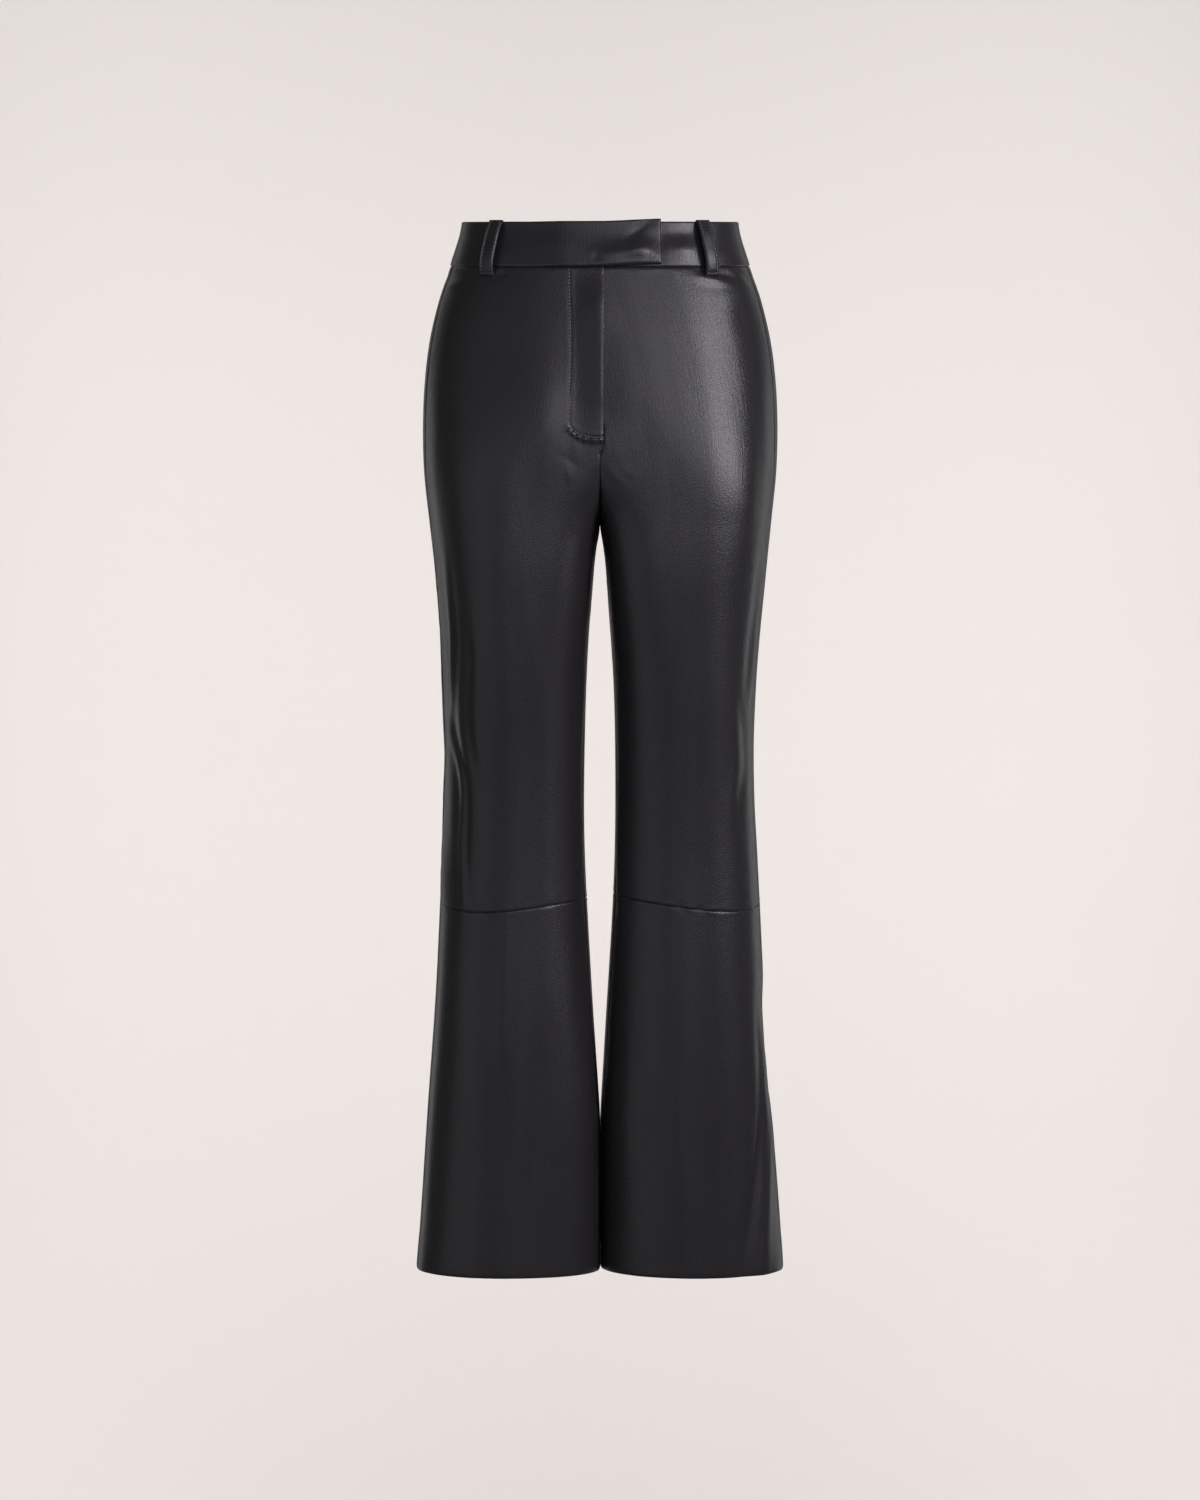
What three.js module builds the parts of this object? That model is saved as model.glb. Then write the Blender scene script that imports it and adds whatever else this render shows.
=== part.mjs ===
// Leather trousers with a kick flare, hollow and standing as they hang when worn.
// Millimetres, +Z up, the front faces -Y, and the wearer's right leg is on the -X side.
// The origin is the middle of the waist opening, level with the band's top edge at the sides.
import * as THREE from "three";

// Lengths and heights
const HEM_Z = -1044.5;
const CROTCH_Z = -302;
const CROTCH_Y = -5;
const FLY_END_Z = -229;
const SEAT_VALLEY_Z = -165; // where the two halves of the seat begin to part
const BAND_HEIGHT = 44;
const WAIST_TILT = 0.17; // how much the waist rises towards the back, for each millimetre
const TILT_ENDS_Z = -240;

// Leather and seams
const WALL = 1.4;
const HEM_WALL = 2.7; // two layers where the hem is turned up inside
const HEM_TURN_UP = 32;
const HEM_TURN_STEP = 4;
const SEAM_GAP = 0.3;
const HALF_SEAM = SEAM_GAP / 2;

// Waistband and its extended tab
const BAND_WALL = 2.4;
const BAND_PROUD = 0.8; // how far the band stands out from the panels below it
const TAB_LENGTH = 59; // past the centre front
const TAB_RISE = 2.2; // the tab's end sits a little higher than the band under it
const BAND_UNDERLAP = 24;
const TAB_LAYER = BAND_WALL + 0.4;
const TAB_LIFT_FROM = 76; // the top layer begins to rise this far before the centre front
const TAB_LIFT_FULL = 32;

// Fly
const FLY_EDGE = 3; // the fly's edge lies this far past the centre front
const FLY_UNDERLAP = 6;
const FLY_LAYER = WALL + 0.4;
const FLY_LIFT_FULL = 12;
const FLY_LIFT_FROM = 29;
const FLY_FADE = 14;

// Belt loops
const LOOP_WIDTH = 14;
const LOOP_LAYER = 2;
const LOOP_GAP = 7.3;
const LOOP_ABOVE = 0.8; // above the band's top edge
const LOOP_BELOW = 9.5; // below the waist seam
const LOOP_FOLD = 7; // the length that is folded under at each end
const LOOP_CLEAR = 0.3;
const LOOP_EDGE_DROP = 0.5;

// The body from the front (side) and from the side (front, back), with the squareness of its rings.
const LEVELS = [
  { z: -1050, side: 183.3, front: -70, back: 70, square: 2.06 },
  { z: -1000, side: 179.9, front: -69, back: 69, square: 2.06 },
  { z: -940, side: 175.8, front: -68, back: 66, square: 2.06 },
  { z: -880, side: 171.6, front: -68, back: 63, square: 2.08 },
  { z: -820, side: 167.4, front: -68, back: 61, square: 2.1 },
  { z: -760, side: 163.6, front: -68, back: 58, square: 2.12 },
  { z: -690, side: 160, front: -68, back: 57, square: 2.15 },
  { z: -640, side: 157.5, front: -69, back: 58, square: 2.15 },
  { z: -600, side: 156, front: -71, back: 60, square: 2.15 },
  { z: -560, side: 155.1, front: -74, back: 63, square: 2.15 },
  { z: -520, side: 154.9, front: -78, back: 67, square: 2.15 },
  { z: -480, side: 155.8, front: -83, back: 72, square: 2.15 },
  { z: -440, side: 157.5, front: -88, back: 78, square: 2.15 },
  { z: -400, side: 160.2, front: -93, back: 85, square: 2.15 },
  { z: -350, side: 164.9, front: -99, back: 96, square: 2.15 },
  { z: -302, side: 170.3, front: -103, back: 109, square: 2.18 },
  { z: -250, side: 175.8, front: -107, back: 121, square: 2.2 },
  { z: -205, side: 177, front: -108.5, back: 125, square: 2.22 },
  { z: -160, side: 175.2, front: -108, back: 122, square: 2.25 },
  { z: -118, side: 170, front: -106, back: 116, square: 2.25 },
  { z: -78, side: 160.4, front: -102, back: 108.5, square: 2.28 },
  { z: -44, side: 149, front: -98, back: 102, square: 2.3 },
  { z: 4, side: 137.4, front: -92, back: 95, square: 2.3 },
];

// Half of the gap between the legs. Below the calves they nest, one a little ahead of the other.
const GAPS = [
  { z: -1050, gap: -0.3 },
  { z: -940, gap: -0.3 },
  { z: -905, gap: -0.2 },
  { z: -885, gap: 0.4 },
  { z: -858, gap: 2 },
  { z: -818, gap: 4.5 },
  { z: -758, gap: 8.3 },
  { z: -698, gap: 11.7 },
  { z: -638, gap: 14.4 },
  { z: -578, gap: 15.6 },
  { z: -518, gap: 15.2 },
  { z: -458, gap: 13.3 },
  { z: -418, gap: 11.1 },
  { z: -378, gap: 8 },
  { z: -338, gap: 4.8 },
  { z: -318, gap: 2.7 },
  { z: -308, gap: 1.2 },
  { z: -302, gap: HALF_SEAM },
];
const NEST = 10; // how far ahead, or behind, each inner side lies where the legs nest
const NEST_FROM_Z = -700;
const NEST_FULL_Z = -870;

// How far the side seam and the inseam lie ahead of the leg's outermost and innermost lines.
const SEAM_PATHS = [
  { z: -1050, sideSeam: 12, inseam: 16 },
  { z: -700, sideSeam: 14, inseam: 20 },
  { z: -420, sideSeam: 20, inseam: 19 },
  { z: -330, sideSeam: 26, inseam: 5 },
  { z: -302, sideSeam: 28, inseam: 0 },
  { z: -210, sideSeam: 32, inseam: 0 },
  { z: -60, sideSeam: 26, inseam: 0 },
  { z: 10, sideSeam: 25, inseam: 0 },
];

// The seam across each leg at the knee: its level at the inside, at the outside, and its dips.
const KNEE_SEAM = {
  right: { inside: -675, outside: -671, frontDip: 15, backDip: 6 },
  left: { inside: -670, outside: -678, frontDip: 11, backDip: 6 },
};
const DIP_SKEW = 1.7; // the front dip's lowest point is nearer the outside

// The largest folds. A turn runs from 0 at the inside of the leg, over the front, to 1 at the
// outside and on over the back to 2. bend moves the middle of the fold, and a depth below 0 is a trough.
const FOLDS = [
  { leg: "right", from: -315, to: -700, top: 0.86, bottom: 0.78, bend: 0.05, width: 11, depth: -3.2 },
  { leg: "right", from: -330, to: -560, top: 0.95, bottom: 0.93, bend: -0.03, width: 10, depth: 1.6 },
  { leg: "right", from: -520, to: -700, top: 0.97, bottom: 0.9, bend: 0, width: 12, depth: 2 },
  { leg: "right", from: -690, to: -960, top: 0.62, bottom: 0.55, bend: 0.02, width: 15, depth: -1.6 },
  { leg: "right", from: -760, to: -1100, top: 0.3, bottom: 0.36, bend: 0, width: 24, depth: -1.4 },
  { leg: "left", from: -745, to: -905, top: 0.97, bottom: 0.96, bend: 0, width: 22, depth: -3.4 },
  { leg: "left", from: -800, to: -1100, top: 0.99, bottom: 0.8, bend: 0.03, width: 9, depth: 2.6 },
  { leg: "left", from: -860, to: -1100, top: 0.85, bottom: 0.69, bend: 0.02, width: 13, depth: -2.2 },
  { leg: "left", from: -330, to: -640, top: 0.93, bottom: 0.94, bend: -0.02, width: 11, depth: -2 },
  { leg: "left", from: -840, to: -1100, top: 0.34, bottom: 0.42, bend: 0, width: 22, depth: -1.2 },
  { leg: "right", from: -290, to: -420, top: 1.72, bottom: 1.3, bend: -0.04, width: 13, depth: -3.6 },
  { leg: "right", from: -335, to: -500, top: 1.6, bottom: 1.26, bend: -0.03, width: 14, depth: -2.6 },
  { leg: "right", from: -560, to: -760, top: 1.34, bottom: 1.62, bend: 0.04, width: 16, depth: -2.6 },
  { leg: "left", from: -295, to: -440, top: 1.7, bottom: 1.34, bend: -0.05, width: 14, depth: -3.2 },
  { leg: "left", from: -350, to: -520, top: 1.63, bottom: 1.24, bend: -0.03, width: 13, depth: -2.8 },
  { leg: "left", from: -580, to: -790, top: 1.3, bottom: 1.55, bend: 0.05, width: 17, depth: -2.4 },
  { leg: "right", from: -800, to: -1100, top: 1.45, bottom: 1.4, bend: 0, width: 24, depth: -2 },
  { leg: "left", from: -820, to: -1100, top: 1.5, bottom: 1.56, bend: 0, width: 24, depth: -2 },
];
const FOLD_FADE = 0.3; // the share of a fold's length over which each end fades

// How finely the pieces are divided
const PANEL_COLUMNS = 16;
const HIP_ROWS = 8;
const CROTCH_ROWS = 7;
const THIGH_ROWS = 10;
const CALF_ROWS = 11;
const BAND_COLUMNS = 34;
const TAB_COLUMNS = 10;
const BAND_ROWS = 3;
const LOOP_ROWS = 14;
const LOOP_COLUMNS = 2;
const RING_STEPS = 48; // points along each half of a ring before it is divided evenly
const SLOPE_STEP = 0.6; // the distance over which a surface's slope is measured
const PLACE_STEP = 0.01; // the step along a section over which its direction is measured
const STEEPEST = 1.2; // the greatest slope that the wall's thickness follows

const leather = () => new THREE.MeshStandardMaterial({ color: 0x2a292b, roughness: 0.42, metalness: 0 });

const mix = (a, b, t) => a + (b - a) * t;
const clamp = (t) => Math.min(1, Math.max(0, t));
// 0 before from, 1 after to, and smooth between them.
const ease = (value, from, to) => {
  const t = clamp((value - from) / (to - from));
  return t * t * (3 - 2 * t);
};

// A smooth function of z through a table's rows, which gives an object with the table's columns.
function tableCurve(rows) {
  const columns = Object.keys(rows[0]).filter((name) => name !== "z");
  const values = rows.flatMap((row) => columns.map((name) => row[name]));
  const curve = new THREE.CubicInterpolant(rows.map((row) => row.z), values, columns.length);
  return (z) => {
    const found = curve.evaluate(z);
    return Object.fromEntries(columns.map((name, i) => [name, found[i]]));
  };
}
const levelAt = tableCurve(LEVELS);
const gapAt = tableCurve(GAPS);
const seamPathAt = tableCurve(SEAM_PATHS);

const tiltAt = (z) => WAIST_TILT * (1 - ease(-z, BAND_HEIGHT, -TILT_ENDS_Z));
const wallAt = (z) => mix(HEM_WALL, WALL, ease(z, HEM_Z + HEM_TURN_UP, HEM_Z + HEM_TURN_UP + HEM_TURN_STEP));

// How the torso parts into two legs. Below from, the foremost (or rearmost) line moves out from
// the middle of the body to the middle of the leg, and below top the crotch seam curves inwards.
const PARTING = {
  front: { from: -110, top: FLY_END_Z, power: 2.5 },
  back: { from: -40, top: SEAT_VALLEY_Z, power: 2.2 },
};
const SEAM_REACH = 6; // the higher, the closer to the crotch seam the leather follows its sharp curve
// How far the crotch seam has gone from the front, or the back, to the crotch: 0 at top, 1 at the crotch.
const crotchCurve = (z, { top, power }) =>
  1 - (1 - clamp((top - z) / (top - CROTCH_Z)) ** power) ** (1 / power);
// The same for the leather beside the seam, which turns in more evenly.
const crotchSweep = (z, { top }) => ease(-z, -top, -CROTCH_Z);

const powered = (value, square) => Math.abs(value) ** (2 / square);

// The sizes of a leg's section at a level. Its front, or back, is an inner and an outer quarter
// that meet at the foremost, or rearmost, line.
const sections = new Map();
function sectionAt(leg, z, face) {
  const key = leg + face + z.toFixed(4);
  if (sections.has(key)) return sections.get(key);
  const { side, square, [face]: depth } = levelAt(z);
  const parted = crotchCurve(z, PARTING[face]);
  const inner = z > CROTCH_Z ? HALF_SEAM * parted : gapAt(z).gap;
  const ridge = mix(inner, side, 0.5) * ease(-z, -PARTING[face].from, -CROTCH_Z);
  const ahead = (leg === "right" ? -NEST : NEST) * ease(-z, -NEST_FROM_Z, -NEST_FULL_Z);
  const inseamY = mix(CROTCH_Y, 0, ease(-z, -CROTCH_Z, -NEST_FROM_Z)) + ahead;
  const seamY = mix(depth, inseamY, parted);
  const besideY = mix(depth, inseamY, crotchSweep(z, PARTING[face]));
  const section = { side, square, depth, inner, ridge, seamY, besideY };
  sections.set(key, section);
  return section;
}

// A point of a section: place runs from -1 at the inside, over 0 at the foremost line, to 1 at the outside.
function sectionPoint(leg, z, face, place) {
  const { side, square, depth, inner, ridge, seamY, besideY } = sectionAt(leg, z, face);
  const angle = (place * Math.PI) / 2;
  const innerY = mix(besideY, seamY, Math.sin(angle) ** SEAM_REACH);
  const [edgeX, edgeY] = place < 0 ? [inner, innerY] : [side, 0];
  const x = mix(ridge, edgeX, powered(Math.sin(angle), square));
  return new THREE.Vector2(x, mix(edgeY, depth, powered(Math.cos(angle), square)));
}

// One half of a ring: the places of points spaced evenly along it, and its length.
function halfRing(leg, z, face) {
  const place = (i) => i / RING_STEPS - 1;
  const raw = Array.from({ length: 2 * RING_STEPS + 1 }, (_, i) => sectionPoint(leg, z, face, place(i)));
  const reach = [0];
  raw.forEach((p, i) => i && reach.push(reach[i - 1] + p.distanceTo(raw[i - 1])));
  const length = reach.at(-1);
  let k = 0;
  const places = Array.from({ length: RING_STEPS + 1 }, (_, i) => {
    const wanted = (length * i) / RING_STEPS;
    while (k < raw.length - 2 && reach[k + 1] <= wanted) k++;
    return place(k + clamp((wanted - reach[k]) / (reach[k + 1] - reach[k] || 1)));
  });
  return { places, length };
}

const rings = new Map();
function ringAt(leg, z) {
  const key = leg + z.toFixed(3);
  if (!rings.has(key)) {
    const front = halfRing(leg, z, "front");
    const back = halfRing(leg, z, "back");
    rings.set(key, { front, back, frontLength: front.length, backLength: back.length });
  }
  return rings.get(key);
}

// A point of the leg's surface and the outward normal there, before folds and layers. The turn runs
// from 0 at the inside, over the front, 1 at the outside and the back to 2. Above the crotch a turn
// past either end goes on over the other half of the body, and below it round the leg.
function surfaceAt(leg, turn, z) {
  const past = turn < 0 || turn > 2;
  const mirrored = past && z > CROTCH_Z;
  let u = turn;
  if (mirrored) u = turn < 0 ? -turn : 4 - turn;
  if (past && !mirrored) u = (turn + 2) % 2;
  const face = u <= 1 ? "front" : "back";
  const { places } = ringAt(leg, z)[face];
  const along = clamp(u <= 1 ? u : 2 - u) * RING_STEPS;
  const k = Math.min(RING_STEPS - 1, Math.floor(along));
  const place = mix(places[k], places[k + 1], along - k);
  const at = sectionPoint(leg, z, face, place);
  const tangent = sectionPoint(leg, z, face, Math.min(1, place + PLACE_STEP));
  tangent.sub(sectionPoint(leg, z, face, Math.max(-1, place - PLACE_STEP)));
  const outward = new THREE.Vector2(tangent.y, -tangent.x).normalize();
  if (face === "back") outward.negate();
  const above = sectionPoint(leg, z + SLOPE_STEP, face, place);
  const slope = above.sub(sectionPoint(leg, z - SLOPE_STEP, face, place)).dot(outward) / (2 * SLOPE_STEP);
  const steep = THREE.MathUtils.clamp(slope, -STEEPEST, STEEPEST);
  const tilt = tiltAt(z);
  const around = new THREE.Vector3(tangent.x, tangent.y, tilt * tangent.y);
  const up = new THREE.Vector3(outward.x * steep, outward.y * steep, 1 + tilt * outward.y * steep);
  const normal = around.cross(up).normalize();
  if (normal.x * outward.x + normal.y * outward.y < 0) normal.negate();
  const point = new THREE.Vector3(at.x, at.y, z + tilt * at.y);
  if ((leg === "right") !== mirrored) {
    point.x *= -1;
    normal.x *= -1;
  }
  return { point, normal };
}

// That surface moved outwards.
function movedOut(leg, turn, z, out) {
  const { point, normal } = surfaceAt(leg, turn, z);
  return point.addScaledVector(normal, out);
}

// How far the folds move the surface outwards.
function foldDepth(leg, turn, z) {
  const { frontLength, backLength } = ringAt(leg, z);
  let depth = 0;
  for (const fold of FOLDS) {
    const t = (z - fold.from) / (fold.to - fold.from);
    if (fold.leg !== leg || t <= 0 || t >= 1) continue;
    const centre = mix(fold.top, fold.bottom, t) + fold.bend * Math.sin(t * Math.PI * 2);
    const away = ((turn - centre) * (centre < 1 ? frontLength : backLength)) / fold.width;
    const ends = ease(t, 0, FOLD_FADE) * (1 - ease(t, 1 - FOLD_FADE, 1));
    depth += fold.depth * ends * Math.exp(-away * away);
  }
  return depth;
}

// How far the fly's top layer stands out.
function layerLift(leg, turn, z) {
  if (leg === "left") return 0;
  const fromCentre = turn * ringAt(leg, z).frontLength;
  const height = ease(z, FLY_END_Z - FLY_FADE / 2, FLY_END_Z + FLY_FADE / 2);
  return FLY_LAYER * height * (1 - ease(fromCentre, FLY_LIFT_FULL, FLY_LIFT_FROM));
}

// A closed wall over a grid: skin(i, j, deep) gives the outside point for deep 0 and the inside for 1.
function wall(name, columns, rows, skin) {
  const points = [];
  for (const deep of [0, 1])
    for (let j = 0; j <= rows; j++) for (let i = 0; i <= columns; i++) points.push(skin(i, j, deep));
  const at = (i, j, deep) => deep * (rows + 1) * (columns + 1) + j * (columns + 1) + i;
  const faces = [];
  const quad = (a, b, c, d) => faces.push(a, b, c, a, c, d);
  for (let j = 0; j < rows; j++)
    for (let i = 0; i < columns; i++) {
      quad(at(i, j, 0), at(i, j + 1, 0), at(i + 1, j + 1, 0), at(i + 1, j, 0));
      quad(at(i, j, 1), at(i + 1, j, 1), at(i + 1, j + 1, 1), at(i, j + 1, 1));
    }
  for (let i = 0; i < columns; i++) {
    quad(at(i, 0, 0), at(i + 1, 0, 0), at(i + 1, 0, 1), at(i, 0, 1));
    quad(at(i, rows, 0), at(i, rows, 1), at(i + 1, rows, 1), at(i + 1, rows, 0));
  }
  for (let j = 0; j < rows; j++) {
    quad(at(0, j, 0), at(0, j, 1), at(0, j + 1, 1), at(0, j + 1, 0));
    quad(at(columns, j, 0), at(columns, j + 1, 0), at(columns, j + 1, 1), at(columns, j, 1));
  }
  let volume = 0;
  for (let f = 0; f < faces.length; f += 3) {
    const [a, b, c] = [points[faces[f]], points[faces[f + 1]], points[faces[f + 2]]];
    volume += a.dot(b.clone().cross(c));
  }
  if (volume < 0) faces.reverse();
  const geometry = new THREE.BufferGeometry().setFromPoints(points);
  geometry.setIndex(faces);
  geometry.computeVertexNormals();
  const mesh = new THREE.Mesh(geometry, leather());
  mesh.name = name;
  return mesh;
}

// A point of a leather panel: deep 0 is its outside, 1 its inside.
function panelPoint(leg, turn, z, deep) {
  const out = foldDepth(leg, turn, z) + layerLift(leg, turn, z) - deep * wallAt(z);
  return movedOut(leg, turn, z, out);
}

// The turns at which a front or back panel's two long edges lie.
function panelEdges(leg, face, z) {
  const { frontLength, backLength } = ringAt(leg, z);
  const { sideSeam, inseam } = seamPathAt(z);
  const trim = HALF_SEAM / frontLength;
  const sideTurn = 1 - sideSeam / frontLength;
  const inTurn = z > CROTCH_Z ? 0 : inseam / frontLength;
  if (face === "back") return [sideTurn + trim, 2 + inTurn - (z > CROTCH_Z ? HALF_SEAM / backLength : trim)];
  const flyUp = ease(z, FLY_END_Z - FLY_FADE, FLY_END_Z - FLY_FADE / 2);
  const underUp = ease(z, FLY_END_Z + FLY_FADE, FLY_END_Z + 2 * FLY_FADE);
  const overlap = leg === "right" ? FLY_EDGE * flyUp : FLY_UNDERLAP * underUp;
  const yielded = leg === "left" ? (FLY_EDGE + SEAM_GAP) * flyUp * (1 - underUp) : 0;
  return [inTurn + trim + (yielded - overlap) / frontLength, sideTurn - trim];
}

function kneeSeamZ(leg, turn) {
  const { inside, outside, frontDip, backDip } = KNEE_SEAM[leg];
  const u = turn > 2 ? turn - 2 : turn;
  if (u <= 1) return mix(inside, outside, u) - frontDip * Math.sin(Math.PI * Math.max(0, u) ** DIP_SKEW);
  return mix(outside, inside, u - 1) - backDip * Math.sin(Math.PI * (u - 1));
}

// The level of an upper panel's row j above the crotch, for u from 0 at the crotch seam to 1 at the
// side seam. The rows follow the crotch seam's curve at one edge and lie evenly at the other.
const BODY_ROWS = HIP_ROWS + 2 + CROTCH_ROWS;
function bodyLevel(face, j, u) {
  const { top, power } = PARTING[face];
  if (j <= HIP_ROWS) return mix(-BAND_HEIGHT - SEAM_GAP, top + FLY_FADE, j / HIP_ROWS);
  if (j === HIP_ROWS + 1) return top;
  const down = (j - HIP_ROWS - 2) / CROTCH_ROWS;
  const atSeam = Math.sin((down * Math.PI) / 2) ** (2 / power);
  return mix(top - FLY_FADE, CROTCH_Z, mix(down, atSeam, (1 - u) ** 3));
}

// Front or back of a leg, from the waist seam to the knee seam.
function upperPanel(leg, face) {
  const { inside, outside } = KNEE_SEAM[leg];
  const turnFor = (u, z) => mix(...panelEdges(leg, face, z), u);
  const skin = (i, j, deep) => {
    const u = i / PANEL_COLUMNS;
    const level = bodyLevel(face, Math.min(j, BODY_ROWS), face === "front" ? u : 1 - u);
    if (j < BODY_ROWS) return panelPoint(leg, turnFor(u, level), level, deep);
    const down = (j - BODY_ROWS) / THIGH_ROWS;
    const middle = mix(CROTCH_Z, mix(inside, outside, 0.5), down);
    const z = mix(CROTCH_Z, kneeSeamZ(leg, turnFor(u, middle)) + HALF_SEAM, down);
    return panelPoint(leg, turnFor(u, z), z, deep);
  };
  return wall(`${face}_${leg}_upper`, PANEL_COLUMNS, BODY_ROWS + THIGH_ROWS, skin);
}

// Front or back of a leg, from the knee seam to the hem.
function lowerPanel(leg, face) {
  const turnFor = (i, z) => mix(...panelEdges(leg, face, z), i / PANEL_COLUMNS);
  const hemRows = [HEM_Z + HEM_TURN_UP + HEM_TURN_STEP, HEM_Z + HEM_TURN_UP, HEM_Z];
  const skin = (i, j, deep) => {
    const top = mix(KNEE_SEAM[leg].inside, KNEE_SEAM[leg].outside, 0.5);
    const seamZ = kneeSeamZ(leg, turnFor(i, top)) - HALF_SEAM;
    const z = j < CALF_ROWS ? mix(seamZ, hemRows[0], j / CALF_ROWS) : hemRows[j - CALF_ROWS];
    return panelPoint(leg, turnFor(i, z), z, deep);
  };
  return wall(`${face}_${leg}_lower`, PANEL_COLUMNS, CALF_ROWS + hemRows.length - 1, skin);
}

// A point of the waistband. fromCentre is the way round from the centre front, and below 0 past it.
function bandPoint(leg, fromCentre, z, deep) {
  const { frontLength } = ringAt(leg, z);
  const top = leg === "right" ? 1 : 0;
  const lift = TAB_LAYER * (1 - ease(fromCentre, TAB_LIFT_FULL, TAB_LIFT_FROM)) * top;
  const rise = TAB_RISE * ease(-fromCentre, 0, TAB_LENGTH) * top;
  const turn = fromCentre / frontLength;
  const out = BAND_PROUD + lift - deep * BAND_WALL;
  const point = movedOut(leg, turn, z, out);
  point.z += rise;
  return point;
}

// One half of the waistband, from the centre back to its front end.
function waistband(leg) {
  const columns = BAND_COLUMNS + (leg === "right" ? TAB_COLUMNS : 0);
  const frontEnd = leg === "right" ? -TAB_LENGTH : -BAND_UNDERLAP;
  const skin = (i, j, deep) => {
    const z = mix(0, -BAND_HEIGHT, j / BAND_ROWS);
    const { frontLength, backLength } = ringAt(leg, z);
    const centreBack = frontLength + backLength - HALF_SEAM;
    const along = mix(frontEnd, centreBack, i / columns);
    if (along <= frontLength) return bandPoint(leg, along, z, deep);
    const turn = 1 + (along - frontLength) / backLength;
    const out = BAND_PROUD - deep * BAND_WALL;
    return movedOut(leg, turn, z, out);
  };
  return wall(`waistband_${leg}`, columns, BAND_ROWS, skin);
}

// A belt loop: a strap folded under at both ends, which bows out over the band.
function beltLoop(name, leg, turn) {
  const top = LOOP_ABOVE;
  const bottom = -BAND_HEIGHT - LOOP_BELOW;
  const skin = (i, j, deep) => {
    const z = mix(top, bottom, j / LOOP_ROWS);
    const { frontLength, backLength } = ringAt(leg, z);
    const across = (i / LOOP_COLUMNS - 0.5) * LOOP_WIDTH;
    const at = turn + across / (turn < 1 ? frontLength : backLength);
    const t = j / LOOP_ROWS;
    const fromEnd = Math.min(z - bottom, top - z);
    const seat = LOOP_CLEAR + BAND_PROUD * ease(z, -BAND_HEIGHT - LOOP_FOLD, -BAND_HEIGHT - LOOP_FOLD / 2);
    const bow = LOOP_GAP * (1 - Math.abs(2 * t - 1) ** 3.2);
    const folded = LOOP_LAYER * (1 - ease(fromEnd, LOOP_FOLD / 2, LOOP_FOLD));
    const inside = seat + Math.max(0, bow - folded * 0.6);
    const edge = LOOP_EDGE_DROP * Math.abs((2 * across) / LOOP_WIDTH);
    const outside = inside + LOOP_LAYER + folded - edge;
    return movedOut(leg, at, z, deep ? inside : outside);
  };
  return wall(name, LOOP_COLUMNS, LOOP_ROWS, skin);
}

const LOOPS = [
  { name: "belt_loop_front_right", leg: "right", turn: 0.555 },
  { name: "belt_loop_front_left", leg: "left", turn: 0.548 },
  { name: "belt_loop_back_right", leg: "right", turn: 1.52 },
  { name: "belt_loop_back_left", leg: "left", turn: 1.52 },
  { name: "belt_loop_centre_back", leg: "left", turn: 2 },
];

const trousers = new THREE.Group();
trousers.name = "trousers";
for (const leg of ["right", "left"]) {
  for (const face of ["front", "back"]) trousers.add(upperPanel(leg, face), lowerPanel(leg, face));
  trousers.add(waistband(leg));
}
for (const { name, leg, turn } of LOOPS) trousers.add(beltLoop(name, leg, turn));

export default trousers;
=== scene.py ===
"""Leather trousers with a kick flare, hollow and standing as they hang when worn.

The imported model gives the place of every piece, and this add-on dresses it: leather panels with
turned seams, folds and puckers, the waistband with its tab, belt loops and stitching, and a studio.
The front faces -Y. Right and left are the wearer's, so the right leg is on the -X side.
Pattern sizes are in millimetres, and a mesh is made in metres.
"""
import math

import bpy
import numpy as np
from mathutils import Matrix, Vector


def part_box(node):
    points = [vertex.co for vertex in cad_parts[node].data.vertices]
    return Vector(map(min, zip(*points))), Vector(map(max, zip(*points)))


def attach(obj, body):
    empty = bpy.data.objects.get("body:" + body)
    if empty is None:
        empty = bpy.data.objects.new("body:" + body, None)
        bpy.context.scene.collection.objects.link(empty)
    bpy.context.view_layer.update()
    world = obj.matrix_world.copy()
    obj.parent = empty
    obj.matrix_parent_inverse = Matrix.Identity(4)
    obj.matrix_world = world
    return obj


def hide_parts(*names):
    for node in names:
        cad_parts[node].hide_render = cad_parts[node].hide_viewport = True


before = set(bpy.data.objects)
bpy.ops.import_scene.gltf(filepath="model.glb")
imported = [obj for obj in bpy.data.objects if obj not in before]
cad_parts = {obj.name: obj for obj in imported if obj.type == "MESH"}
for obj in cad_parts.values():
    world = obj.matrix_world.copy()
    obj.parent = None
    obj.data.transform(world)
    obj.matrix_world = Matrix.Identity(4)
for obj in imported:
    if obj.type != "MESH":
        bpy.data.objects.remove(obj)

bl_info = {
    "name": "Leather trousers",
    "version": (1, 0, 0),
    "blender": (4, 5, 0),
    "location": "3D Viewport > Sidebar > Trousers",
    "description": "Dresses the packed trousers with leather, seams, stitching and a studio",
    "category": "Object",
}

MM = 0.001
LEGS = ("right", "left")
FACES = ("front", "back")
STUDIO_TINT = (0.97, 0.94, 1.0)
WHITE = (1, 1, 1)

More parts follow.
